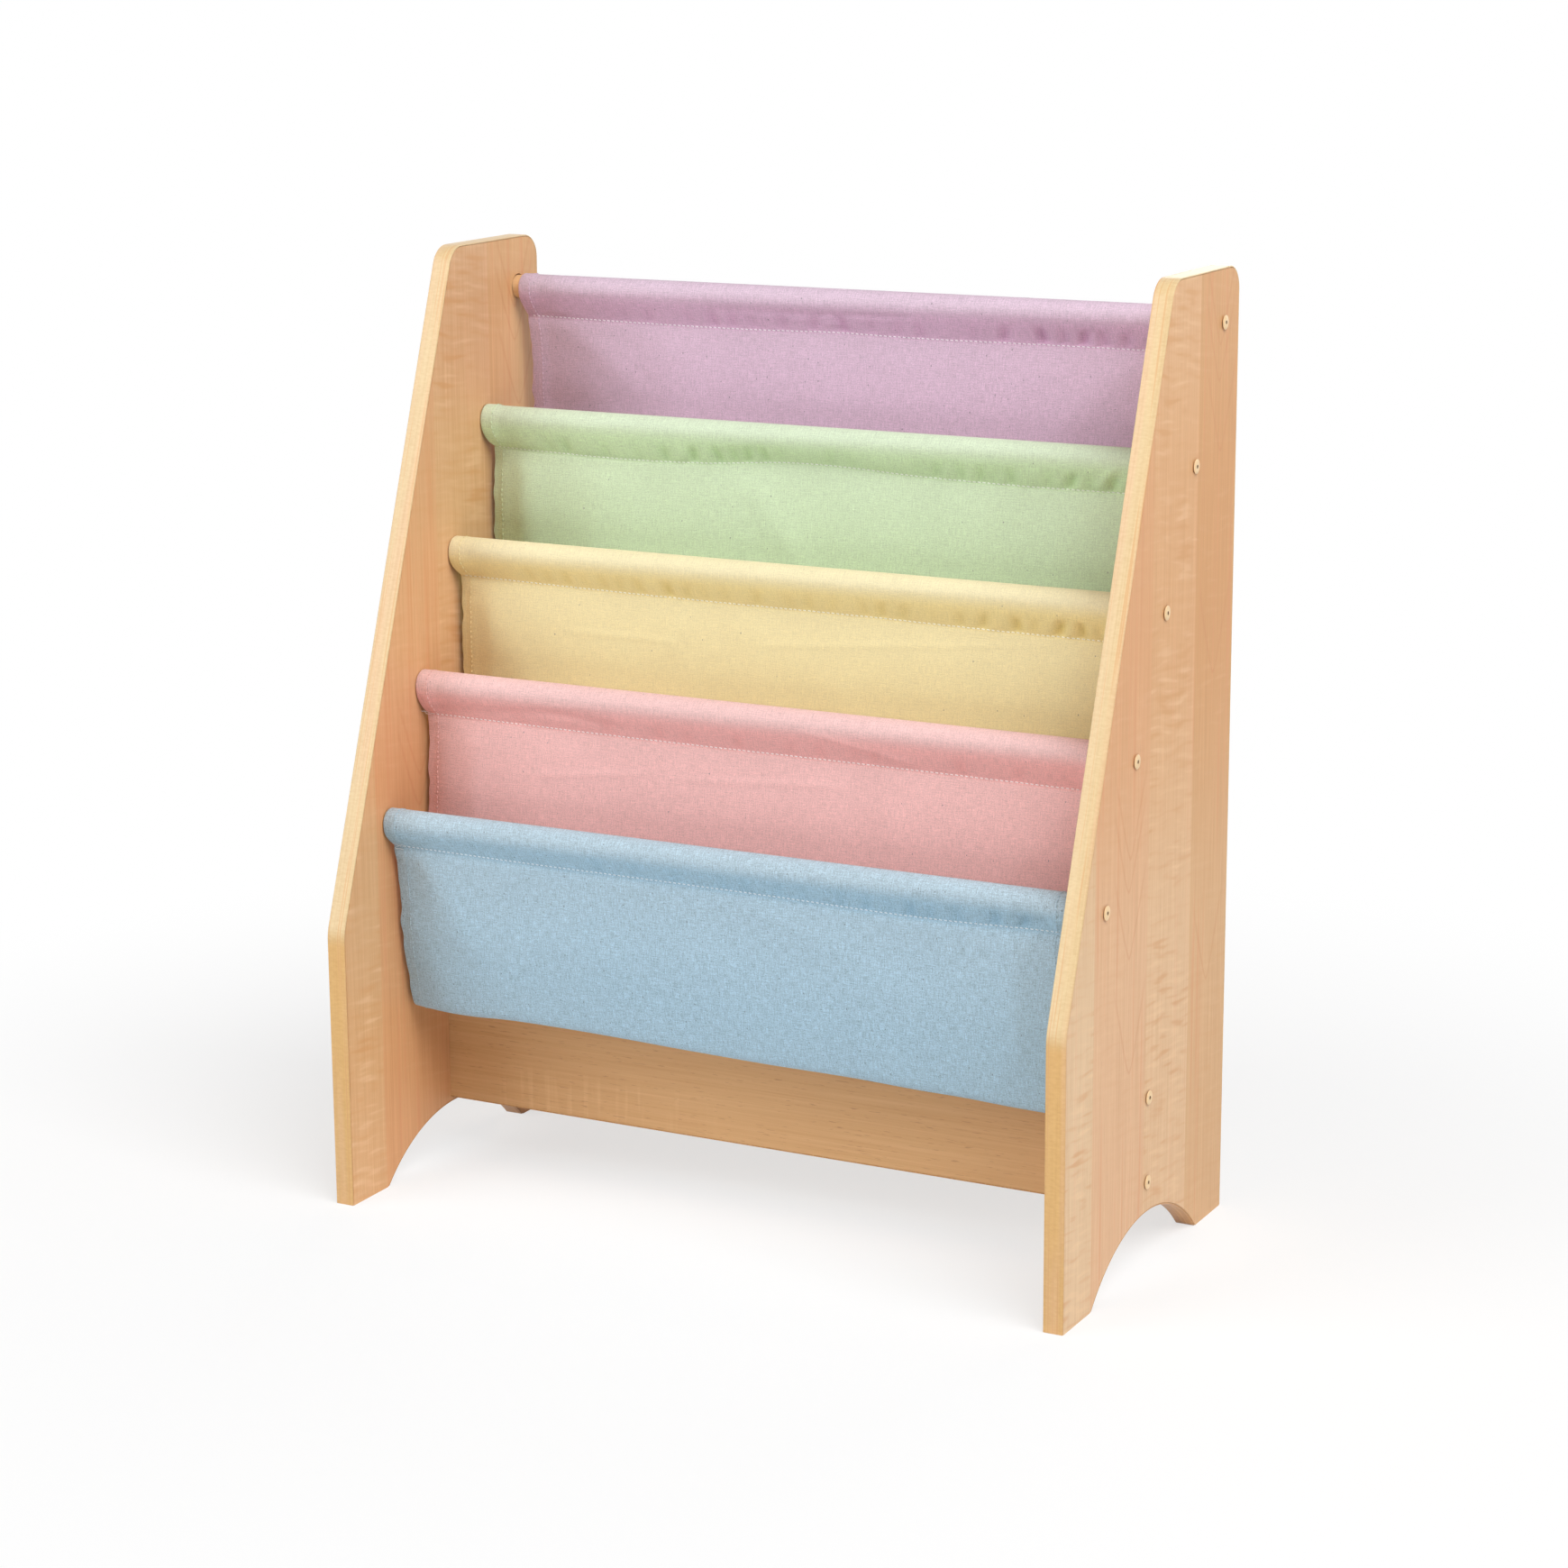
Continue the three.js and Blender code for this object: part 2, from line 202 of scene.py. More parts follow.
class Wire:
    def __init__(self, net, socket):
        self.net, self.socket = net, socket

    def maths(self, operation, *values):
        return self.net.add("Math", {"operation": operation}, dict(enumerate((self, *values))))

    def __add__(self, other):
        return self.maths("ADD", other)

    def __sub__(self, other):
        return self.maths("SUBTRACT", other)

    def __mul__(self, other):
        return self.maths("MULTIPLY", other)

    def __truediv__(self, other):
        return self.maths("DIVIDE", other)

    def __rsub__(self, other):
        return self.net.add("Math", {"operation": "SUBTRACT"}, {0: other, 1: self})

    __radd__, __rmul__ = __add__, __mul__

    def band(self, low, high):
        """0 below low, 1 above high, smooth between."""
        span = {"Value": self, "From Min": low, "From Max": high}
        return self.net.add("MapRange", {"interpolation_type": "SMOOTHSTEP"}, span)


class Net:
    def __init__(self, tree):
        self.tree = tree

    def add(self, kind, settings, sockets, output=0):
        node = self.tree.nodes.new("ShaderNode" + kind)
        for key, value in settings.items():
            setattr(node, key, value)
        for key, value in sockets.items():
            if isinstance(value, Wire):
                self.tree.links.new(value.socket, node.inputs[key])
            else:
                node.inputs[key].default_value = value
        return Wire(self, node.outputs[output])

    def show(self, wire, output):
        """Makes a wire the whole net's surface."""
        self.tree.links.new(wire.socket, self.tree.nodes[output].inputs["Surface"])

    def seen(self):
        """1 for rays that show a picture of the room: straight, mirrored or through glass."""
        straight, mirrored, through = (
            self.add("LightPath", {}, {}, f"Is {kind} Ray") for kind in ("Camera", "Glossy", "Transmission")
        )
        return straight.maths("MAXIMUM", mirrored).maths("MAXIMUM", through)


class Finish(Net):
    def __init__(self, name, roughness, specular):
        self.material = bpy.data.materials.new(name)
        self.material.use_nodes = True
        super().__init__(self.material.node_tree)
        self.shader = self.tree.nodes["Principled BSDF"]
        self.shader.inputs["Roughness"].default_value = roughness
        self.shader.inputs["Specular IOR Level"].default_value = specular

    def place(self, along="Object"):
        """The x, y and z of Object coordinates, or of the piece's own UV map, in metres."""
        spot = self.add("TexCoord", {}, {}, output=along)
        return [self.add("SeparateXYZ", {}, {0: spot}, output=i) for i in range(3)]

    def at(self, x, y, z):
        return self.add("CombineXYZ", {}, {0: x, 1: y, 2: z})

    def noise(self, x, y, z, detail=2, rough=0.5):
        spot = self.at(x, y, z)
        return self.add("TexNoise", {}, {"Vector": spot, "Scale": 1, "Detail": detail, "Roughness": rough})

    def mix(self, amount, first, second, how="MIX"):
        settings = {"data_type": "RGBA", "blend_type": how}
        return self.add("Mix", settings, {0: amount, 6: first, 7: second}, 2)

    def shade(self, colour, value):
        """A colour made lighter or darker by a value near 1."""
        return self.mix(1.0, colour, self.add("CombineColor", {}, {0: value, 1: value, 2: value}), "MULTIPLY")

    def stain(self, colour, value):
        """As shade, but what gets darker also gets redder, as wood does."""
        parts = {0: value * 0.6 + 0.4, 1: value, 2: value * 1.4 - 0.4}
        return self.mix(1.0, colour, self.add("CombineColor", {}, parts), "MULTIPLY")

    def wear(self, colour, roughness, height, depth):
        """Joins what was made to the shader's own sockets. A height of 1 stands depth metres out."""
        bump = self.add("Bump", {}, {"Height": height, "Distance": depth, "Strength": 1.0})
        for socket, wire in (("Base Color", colour), ("Roughness", roughness), ("Normal", bump)):
            self.tree.links.new(wire.socket, self.shader.inputs[socket])
        return self.material


def rgb(red, green, blue):
    """A colour as a paint chart gives it, 0 to 255, turned into light amounts."""
    values = [v / 255 for v in (red, green, blue)]
    return (*[v / 12.92 if v <= 0.04045 else ((v + 0.055) / 1.055) ** 2.4 for v in values], 1)


print("finishes can be written")

# %% [markdown]
# ## The laminate
# The boards wear a printed wood paper. It shows planks side by side: yellow ones with short cross
# strokes, as curly maple has, and pinker ones with long nested arches. Hair-fine upright lines run
# through all of them, and the sheet is a little warmer from half its height up. Each of these is one
# short sum of stretched noise, and a plank's border is a step across the board. The left board's inner
# face has painted light and shade in its colour: the warm tint sits low down on it as painted shade, and
# it is darker low down and over the front of its top, where the slings keep the light off it, and
# lighter at the rear of its top.

# %% Define the laminate
PLANK_EDGES = [-101 * MM, -6 * MM, 75 * MM]
PLANK_TONES = [rgb(228, 194, 154), rgb(227, 183, 142), rgb(228, 189, 147), rgb(221, 177, 130)]
ARCHES = [
    (-39 * MM, 306 * MM), (-41 * MM, 282 * MM), (-39 * MM, 234 * MM), (-36 * MM, 150 * MM),
    (114 * MM, 648 * MM), (113 * MM, 622 * MM), (117 * MM, 572 * MM), (112 * MM, 410 * MM),
    (110 * MM, 180 * MM),
]
GRAIN_RELIEF = 0.04 * MM


def cross_strokes(wood, y, z):
    """Short strokes, nearly level and in patches: how dark and how pale each spot is."""
    bend = wood.noise(y * 26, z * 16, 2.0, detail=1)
    level = z + y * 0.11 + bend * 0.006
    broad = wood.noise(y * 28, level * 190, 4.0, detail=1, rough=0.4)
    patch = wood.noise(y * 20, z * 9, 8.0, detail=1).band(0.34, 0.6) * 0.8 + 0.2
    return broad.band(0.5, 0.74) * patch, (1 - broad.band(0.26, 0.47)) * patch


def nested_arch(wood, y, z, centre, foot):
    """One line that rises on both sides of its foot, as a flat-sawn board shows."""
    off = y - centre
    aside = off.maths("ABSOLUTE")
    waver = wood.noise(y * 30, z * 14, foot * 90, detail=2) - 0.5
    line = z - foot - (off * off + 0.000012).maths("SQRT") * 2.5 + waver * 0.012
    stroke = 1 - (line / (aside * 0.22 + 0.0024)).maths("ABSOLUTE").band(0.0, 1.0)
    return stroke * (1 - aside.band(0.022, 0.034)) * (1 - (z - foot).band(0.03, 0.12))


def laminate():
    wood = Finish("panel_wood", 0.5, 0.4)
    x, y, z = wood.place()
    plank, pinker = PLANK_TONES[0], 0.0
    for edge, tone in zip(PLANK_EDGES, PLANK_TONES[1:]):
        step = y.band(edge - 0.0005, edge + 0.0005)
        plank = wood.mix(step, plank, tone)
        pinker = (step - pinker).maths("ABSOLUTE")
    inner = x.band(-0.294, -0.292) * (1 - x.band(-0.1, 0.1))
    high = z.band(0.21, 0.47) * (1 - z.band(0.55, 0.72) * 0.35)
    # On the left board's inner face the warm tint sits low down instead, and there it is painted shade.
    warmth_and_painted_shade = high * (1 - inner) + (1 - z.band(0.3, 0.42) * 0.5) * inner
    plank = wood.mix(warmth_and_painted_shade, plank, rgb(249, 232, 213), "MULTIPLY")
    hairs = wood.noise(y * 620, z * 9, x * 300, detail=3, rough=0.7)
    veins = wood.noise(y * 170, z * 3.5, x * 90, detail=2, rough=0.55)
    cloud = wood.noise(y * 12, z * 6, x * 5, detail=2)
    dark, pale = cross_strokes(wood, y, z)
    # Painted light and shade on the left board's inner face: darker low down and over the front of its top,
    # lighter at the rear of its top.
    inner_painted_light_shade = z.band(0.4, 0.56) * (y.band(0.07, 0.08) * 0.13 - 0.06) - (1 - z.band(0.3, 0.42)) * 0.06
    light = 1.0 + (hairs - 0.5) * 0.5 + (veins - 0.5) * 0.16 + (cloud - 0.5) * 0.06
    colour = wood.stain(plank, light + inner * inner_painted_light_shade)
    colour = wood.mix(dark * (1 - pinker * 0.75) * 0.6, colour, rgb(213, 155, 102))
    colour = wood.mix(pale * (1 - pinker * 0.75) * 0.3, colour, rgb(251, 215, 171))
    colour = wood.mix(veins.band(0.54, 0.72) * (pinker * 0.36 + 0.16), colour, rgb(218, 149, 105))
    for centre, foot in ARCHES:
        colour = wood.mix(nested_arch(wood, y, z, centre, foot) * 0.3, colour, rgb(206, 132, 88))
    pores = wood.noise(y * 1300, z * 70, x * 700, detail=1).band(0.68, 0.76)
    colour = wood.mix(pores * 0.2, colour, rgb(176, 124, 88))
    return wood.wear(colour, hairs * 0.12 + 0.44, hairs * 0.6 - pores * 0.5, GRAIN_RELIEF)


panel_wood = laminate()
print("panel wood has", len(panel_wood.node_tree.nodes), "nodes")

# %% [markdown]
# ## The stretcher's laminate
# The same paper lies crosswise on the stretcher, so its grain runs along X. It is browner and more
# even, with short dark pores, and has a little curly figure near its lower left corner.

# %% Define the stretcher's wood


def stretcher_finish():
    wood = Finish("stretcher_wood", 0.5, 0.4)
    x, y, z = wood.place()
    hairs = wood.noise(x * 10, y * 300, z * 900, detail=2, rough=0.6)
    veins = wood.noise(x * 5, y * 120, z * 260, detail=2)
    broad = wood.noise(x * 3, y * 40, z * 45, detail=1)
    dashes = wood.noise(x * 95, y * 500, z * 1100, detail=1).band(0.66, 0.74)
    curl = wood.noise(x * 210, y * 60, z * 14, detail=1).band(0.5, 0.7)
    low_left = (1 - z.band(0.066, 0.088)) * (1 - x.band(-0.13, -0.02)) * x.band(-0.26, -0.22)
    light = 1.0 + (hairs - 0.5) * 0.34 + (veins - 0.5) * 0.24 + (broad - 0.5) * 0.08
    light = light + curl * low_left * 0.12
    colour = wood.stain(wood.mix(veins, rgb(213, 166, 113), rgb(215, 167, 117)), light)
    colour = wood.mix(dashes * 0.42, colour, rgb(160, 108, 70))
    return wood.wear(colour, hairs * 0.12 + 0.44, hairs * 0.6 - dashes * 0.6, GRAIN_RELIEF)


stretcher_wood = stretcher_finish()
print("stretcher wood has", len(stretcher_wood.node_tree.nodes), "nodes")

# %% [markdown]
# ## The edge band and the rods' wood
# The bands are a thin pale strip with two or three fine lines along it and faint ticks across it.
# The lines keep their place across the strip's width, so they depend on X and hardly on Y and Z. On
# the short upright stretch at the front the strip is a deeper, darker yellow, and inside the arch it is
# darker and browner: both are painted shade.

# %% Define the band and rod finishes


def band_finish():
    wood = Finish("band_wood", 0.42, 0.45)
    x, y, z = wood.place()
    lines = wood.noise(x * 520, y * 5, z * 5, detail=2, rough=0.55)
    ticks = wood.noise(x * 240, y * 620, z * 620, detail=2)
    pinker = wood.noise(x * 130, y * 5, z * 5, detail=1).band(0.45, 0.7)
    # The upright stretch below the knee gets a deeper, darker yellow, which is painted shade.
    deep = 1 - z.band(KNEE - 0.012, KNEE + 0.004)
    base = wood.mix(deep, rgb(218, 190, 143), rgb(218, 174, 111))
    base = wood.mix(pinker * 0.5, base, rgb(222, 180, 139))
    # Inside the arch the strip is darker and browner, which is painted shade.
    arch = (1 - z.band(0.05, 0.06)) * (1 - y.maths("ABSOLUTE").band(0.125, 0.135))
    base = wood.stain(base, 1.0 + (lines - 0.5) * 0.42 + (ticks - 0.5) * 0.3 - arch * 0.38)
    colour = wood.mix(lines.band(0.56, 0.66) * 0.7, base, rgb(212, 160, 107))
    return wood.wear(colour, lines * 0.1 + 0.32, lines, 0.03 * MM)


def rod_finish():
    wood = Finish("rod_wood", 0.6, 0.3)
    x, y, z = wood.place()
    fibres = wood.noise(x * 12, y * 900, z * 900, detail=3, rough=0.6)
    rings = wood.noise(x * 3, y * 220, z * 220, detail=2)
    pores = wood.noise(x * 160, y * 1500, z * 1500, detail=1).band(0.68, 0.76)
    light = 1.0 + (fibres - 0.5) * 0.2 + (rings - 0.5) * 0.14 - pores * 0.12
    colour = wood.shade(wood.mix(rings, rgb(220, 178, 130), rgb(230, 190, 142)), light)
    return wood.wear(colour, fibres * 0.15 + 0.55, fibres - pores, 0.06 * MM)


band_wood, rod_wood = band_finish(), rod_finish()
print("band and rod finishes ready")

# %% [markdown]
# ## The screws' paint
# The screws are painted cream to match the wood. Paint pools a little and rubs off the rim, so its
# tone and gloss vary softly. No light gets into the socket or under the rim, so the faces there carry
# a "shaded" value and take a brown in place of the cream.

# %% Define the paint


def paint_finish():
    paint = Finish("screw_cream", 0.38, 0.5)
    x, y, z = paint.place()
    cloud = paint.noise(x * 300, y * 300, z * 300, detail=3)
    colour = paint.mix(cloud, rgb(244, 213, 166), rgb(238, 202, 152))
    shaded = paint.add("Attribute", {"attribute_name": "shaded"}, {}, 2)
    colour = paint.mix(shaded * 0.8, colour, rgb(92, 60, 38))
    grit = paint.noise(x * 1400, y * 1400, z * 1400, detail=2)
    return paint.wear(colour, cloud * 0.2 + 0.3, grit, 0.02 * MM)


screw_cream = paint_finish()
print("paint ready")

# %% [markdown]
# ## The canvas
# A plain weave: one set of threads up and down, one across, each slightly uneven, so light and dark
# slubs run both ways. Short dark specks of seed are caught in it, many in the blue, few in the rest.
# The side hems are double and look a shade deeper. The colour also holds painted light and shade: it
# is paler along the top of the sleeve as a painted highlight, and deeper lower on the sleeve and down
# the body as painted shade, deepest and darker in the gathers. Each sling carries a value per point for
# that, which goes below 0 in the gathers. The weave follows the cloth, so it reads the cloth's own UV
# map, in metres along and across the threads.

# %% Define the canvas
THREAD = 0.62 * MM
HEM_LINE = 271.5 * MM
BLACK, SHADE = (0, 0, 0), (0.02, 0.015, 0.015)


def deeper(colour, power):
    """A colour as light as before, with its tint made stronger (a power over 1) or weaker."""
    raised = [value**power for value in colour[:3]]
    return (*[value * sum(colour[:3]) / sum(raised) for value in raised], 1)


def toned(colour, share, other=(1.0, 1.0, 1.0)):
    """A colour moved a share of the way towards another, white unless it is named."""
    return (*[a + (b - a) * share for a, b in zip(colour[:3], other)], 1)


def canvas(name, colour, specks, slubs):
    cloth = Finish(name, 0.92, 0.12)
    cloth.shader.inputs["Sheen Weight"].default_value = 0.1
    cloth.shader.inputs["Sheen Roughness"].default_value = 0.5
    u, v, _ = cloth.place("UV")
    weave = (u * (math.tau / THREAD)).maths("SINE") * (v * (math.tau / THREAD)).maths("SINE")
    warp = cloth.noise(u * 1150, v * 120, 0.0, detail=2, rough=0.7)
    weft = cloth.noise(u * 120, v * 1150, 7.0, detail=2, rough=0.7)
    grain = cloth.noise(u * 1100, v * 1100, 9.0, detail=1, rough=0.6)
    cloud = cloth.noise(u * 26, v * 26, 3.0, detail=2)
    light = (warp - 0.5) * 0.36 + (weft - 0.5) * 0.32 + (grain - 0.5) * 0.4
    light = 1.0 + light * slubs + weave * 0.03 + (cloud - 0.5) * 0.06
    hem = u.maths("ABSOLUTE").band(HEM_LINE - 1 * MM, HEM_LINE + 1 * MM)
    # Painted light and shade: paler at the sleeve's top as a painted highlight, deeper and darker lower down
    # and in the gathers as painted shade.
    painted_light_shade = cloth.add("Attribute", {"attribute_name": "painted_light_shade"}, {}, 2)
    dye_with_painted_light = cloth.mix(painted_light_shade, deeper(colour, 1.14), toned(deeper(colour, 0.82), 0.09))
    dye_with_painted_light = cloth.mix(0 - painted_light_shade, dye_with_painted_light, deeper(toned(colour, 0.17, BLACK), 1.5))
    base = cloth.shade(dye_with_painted_light, light * (1 - hem * 0.05))
    cells = {"Vector": cloth.at(u * 95, v * 62, 0.0), "Scale": 1}
    near, chance = (cloth.add("TexVoronoi", {"voronoi_dimensions": "2D"}, cells, i) for i in range(2))
    pick = cloth.add("SeparateColor", {}, {0: chance}, 0).band(1 - specks, 1.001 - specks)
    size = cloth.add("SeparateColor", {}, {0: chance}, 1) * 0.03 + 0.03
    fleck = (1 - (near / size).band(0.5, 1.0)) * pick
    base = cloth.mix(fleck * 0.6, base, rgb(98, 92, 100))
    return cloth.wear(base, grain * 0.1 + 0.86, weave * 0.4 + warp + weft, 0.16 * MM)


CANVAS_TONES = {
    "lilac": (rgb(216, 182, 205), 0.34, 1.5),
    "green": (rgb(208, 228, 188), 0.1, 1.15),
    "yellow": (rgb(244, 227, 169), 0.08, 0.8),
    "pink": (rgb(242, 186, 182), 0.12, 1.35),
    "blue": (rgb(166, 195, 212), 0.5, 2.3),
}
canvases = {name: canvas(name + "_canvas", *tones) for name, tones in CANVAS_TONES.items()}


def thread_finish(name, pale, dark):
    thread = Finish(name, 0.7, 0.3)
    x, y, z = thread.place()
    twist = (x * 9000 + z * 5200).maths("SINE")
    fuzz = thread.noise(x * 2500, y * 2500, z * 2500, detail=2)
    colour = thread.mix(fuzz, dark, pale)
    return thread.wear(colour, fuzz * 0.2 + 0.62, twist * 0.5 + fuzz, 0.08 * MM)


seam_threads, hem_threads, needle_hole_shades = {}, {}, {}
for name, (tone, _, _) in CANVAS_TONES.items():
    # The needle holes' colour is painted shade: each sling's tone taken about a third of the way to near
    # black.
    dark = toned(tone, 0.34, SHADE)
    seam_threads[name] = thread_finish(name + "_seam_thread", toned(tone, 0.75), toned(tone, 0.5))
    hem_threads[name] = thread_finish(name + "_hem_thread", toned(tone, 0.1), toned(tone, 0.1, BLACK))
    needle_hole_shades[name] = thread_finish(name + "_needle_hole_shade", dark, dark)
print("canvas in", ", ".join(canvases))

# %% [markdown]
# ## The boards and their edge bands
# The rigid boards are flat and have their sockets, so they stay and only take the laminate. The bands
# show eased edges, which catch the light, so they are made anew. A block the size of the whole side
# is cut along the slant, its corners are rounded with bevels, and the arch is cut with a round bar.
# Then its flat sides are thrown away: what is left is the rim, which gets the band's thickness.

# %% Dress the rigid boards
for node in ("side_panel_left", "side_panel_right"):
    dress(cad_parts[node], panel_wood)
dress(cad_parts["stretcher"], stretcher_wood)
print("dressed the boards and the stretcher")

# %% Cut a whole side
CORNER = 18 * MM
KNEE_RADIUS = 30 * MM


def along_x(piece, edge, y, z):
    middle, way = edge_middle(piece, edge)
    near = abs(middle.y - y) < 0.4 * MM and abs(middle.z - z) < 0.4 * MM
    return near and abs(way.x) > 0.99


def round_corner(piece, y, z, radius, turn, segments):
    edit(piece, lambda edge: along_x(piece, edge, y, z), "EDGE")
    bpy.ops.mesh.bevel(offset=radius * math.tan(turn / 2), segments=segments, affect="EDGES")
    done()


def whole_side(name, side):
    middle = side * (INNER + BOARD / 2)
    bpy.ops.mesh.primitive_cube_add(size=1, location=(middle, 0, TOP / 2), scale=(BOARD, REAR - FRONT, TOP))
    block = named(name)
    edit(block)
    upward = (0, -math.sin(SLANT), math.cos(SLANT))
    bpy.ops.mesh.bisect(plane_co=(middle, FRONT, KNEE), plane_no=upward, use_fill=True, clear_outer=True)
    done()
    round_corner(block, FRONT, KNEE, KNEE_RADIUS, math.pi / 2 - SLANT, 6)
    round_corner(block, FRONT + SETBACK, TOP, CORNER, SLANT, 14)
    round_corner(block, REAR, TOP, CORNER, math.pi / 2, 16)
    lying_bar(256, ARCH_RADIUS, 3 * BOARD, (middle, ARCH_Y, ARCH_RISE - ARCH_RADIUS))
    cut_out(block, named("arch_cutter"))
    return block


# %% Keep the rim as two bands


def in_arch(face):
    return abs(face.center.y - ARCH_Y) < ARCH_HALF + 1 * MM and face.center.z < ARCH_RISE + 1 * MM


def rim(block, name, keep):
    active(block)
    bpy.ops.object.duplicate()
    band = named(name)
    edit(band, lambda face: not keep(face))
    bpy.ops.mesh.delete(type="FACE")
    done()
    modify(band, "SOLIDIFY", thickness=BAND, offset=-1, use_even_offset=True)
    ease_edges(band, 0.9 * MM)
    return band


def on_rim(face):
    """Neither one of the board's two flat sides nor the soles of its feet."""
    return abs(face.normal.x) <= 0.5 and (face.normal.z >= -0.999 or face.center.z >= 1 * MM)


for side, label in SIDES:
    block = whole_side("side_" + label, side)
    outer = rim(block, "band_" + label, lambda face: on_rim(face) and not in_arch(face))
    arch = rim(block, "arch_trim_" + label, lambda face: on_rim(face) and in_arch(face))
    bpy.data.objects.remove(block)
    finish_piece(outer, band_wood, "edge_band", "edge_band_" + label)
    finish_piece(arch, band_wood, "edge_band", "arch_band_" + label)
    print(label, "bands have", len(outer.data.polygons), "and", len(arch.data.polygons), "faces")

# %% Make the stretcher's two bands
for label, low in (("lower", STRETCHER_LOW), ("upper", STRETCHER_HIGH - BAND)):
    bpy.ops.mesh.primitive_cube_add(
        size=1, location=(0, STRETCHER_Y, low + BAND / 2), scale=(2 * INNER, STRETCHER_THICK, BAND)
    )
    strip = named("stretcher_trim_" + label)
    outer_z = low if label == "lower" else low + BAND
    edit(strip, lambda edge: abs(edge_middle(strip, edge)[0].z - outer_z) < 0.1 * MM, "EDGE")
    bpy.ops.mesh.bevel(offset=0.8 * MM, segments=3, affect="EDGES")
    done()
    smooth(strip)
    finish_piece(strip, band_wood, "edge_band", "stretcher_band_" + label)
    print(label, "stretcher band has", len(strip.data.polygons), "faces")

# %% [markdown]
# ## The rods
# Turned dowels with a small chamfer at each end. Only the top one shows bare wood, for a few
# millimetres beside its socket. The ends stand in blind sockets in the boards.

# %% Turn the rods


def turned_rod(name, y, z):
    lying_bar(64, ROD_RADIUS, 2 * (INNER + ROD_IN_BOARD), (0, y, z))
    rod = named(name)
    edit(rod, lambda face: abs(face.normal.x) > 0.9)
    bpy.ops.mesh.inset(thickness=1 * MM)
    done()
    edit(rod, lambda face: abs(face.normal.x) > 0.9 and len(face.vertices) > 4)
    bpy.ops.mesh.inset(thickness=6 * MM, depth=-0.4 * MM)
    done()
    ease_edges(rod, 0.8 * MM)
    return rod


for i, (y, z) in enumerate(RODS):
    dowel = turned_rod(f"dowel_{i + 1}", y, z)
    finish_piece(dowel, rod_wood, "rod_wood", f"rod_{i + 1}")

# %% [markdown]
# ## The screws
# Low domed heads with a small hexagon socket, on a plain shank. The dome is a few rings, each inset
# and raised a little less than the last, and under the rim the head draws in to the board. One screw
# is modelled at the origin and copied to fourteen places, each copy with its own mesh.

# %% Model one screw
HEAD_RADIUS, RIM_HEIGHT, RIM_PLACE = 5.2 * MM, 0.35 * MM, 1.1 * MM
SOCKET_RADIUS = 1.5 * MM
DOME_RINGS = [(0.15, 0.1), (0.35, 0.15), (0.7, 0.14), (0.9, 0.07), (0.5, 0.0)]


def shade_of(face):
    """1 in the socket, 0.8 under the rim, 0 elsewhere."""
    off_axis = face.center.to_2d().length
    if off_axis < SOCKET_RADIUS - 0.05 * MM and face.normal.z < 0.9 or off_axis < 0.6 * MM:
        return 1.0
    return 0.8 if face.normal.z < -0.2 and face.center.z > 0 else 0.0


def one_screw():
    bpy.ops.mesh.primitive_cylinder_add(
        vertices=48, radius=HEAD_RADIUS, depth=RIM_HEIGHT, location=(0, 0, RIM_PLACE)
    )
    head = named("screw")
    edit(head, lambda face: face.normal.z < -0.9)
    bpy.ops.mesh.extrude_region_move(TRANSFORM_OT_translate={"value": (0, 0, -0.925 * MM)})
    bpy.ops.transform.resize(value=(0.8, 0.8, 1))
    bpy.ops.mesh.inset(thickness=2 * MM)
    bpy.ops.mesh.extrude_region_move(TRANSFORM_OT_translate={"value": (0, 0, -41 * MM)})
    bpy.ops.mesh.extrude_region_move(TRANSFORM_OT_translate={"value": (0, 0, -4 * MM)})
    bpy.ops.transform.resize(value=(0.4, 0.4, 1))
    done()
    edit(head, lambda face: face.normal.z > 0.9)
    for inward, rise in DOME_RINGS:
        bpy.ops.mesh.inset(thickness=inward * MM, depth=rise * MM)
    done()
    bpy.ops.mesh.primitive_cylinder_add(
        vertices=6, radius=SOCKET_RADIUS, depth=2 * MM, location=(0, 0, 1.9 * MM)
    )
    cut_out(head, named("hex_cutter"))
    smooth(head)
    shades = [shade_of(face) for face in head.data.polygons]
    head.data.attributes.new("shaded", "FLOAT", "FACE").data.foreach_set("value", shades)
    return head


def set_screw(name, side, y, z, turn, node):
    """Copies the pattern to a board's outer face, turned so that the sockets don't all stand alike."""
    active(pattern)
    bpy.ops.object.duplicate()
    copy = bpy.context.object
    copy.data = pattern.data.copy()
    copy.location = (side * OUTER, y, z)
    copy.rotation_mode = "ZYX"
    copy.rotation_euler = (0, side * math.pi / 2, turn)
    finish_piece(named(name), screw_cream, "screw_paint", node)


pattern = one_screw()
print("one screw has", len(pattern.data.polygons), "faces")

# %% Set the fourteen screws
turns = [0.3, 1.1, 0.75, 0.2, 0.55, 0.9, 0.4]
for side, label in SIDES:
    for i, (y, z) in enumerate(RODS):
        set_screw(f"screw_{label}_{i + 1}", side, y, z, turns[i], f"rod_screw_{label}_{i + 1}")
    for i, (place, z) in enumerate(STRETCHER_SCREWS.items()):
        node = f"stretcher_screw_{label}_{place}"
        set_screw(f"screw_{label}_{place}", side, STRETCHER_Y, z, turns[5 + i], node)
bpy.data.objects.remove(pattern)
print("set 14 screws")

# %% [markdown]
# ## How a sling hangs
# Each sling is one strip of canvas. It passes over its rod and is sewn to itself just below, which
# makes the sleeve. From that seam the front layer runs down as the back wall of the pocket in front,
# and the back layer runs down as the front wall of the pocket behind, turns under in a round fold
# and is sewn to the end of the sling above. So the strip is drawn as one line in the side view, and
# that line is swept across the shelf. The numbers come from the photograph and are in millimetres. A
# pair of "edge", "middle" or a lean is how far below the rod and how far back from it; one of "seam" is
# a place across and how far the seam is below the rod; one of "gathers" is a place across and a depth.

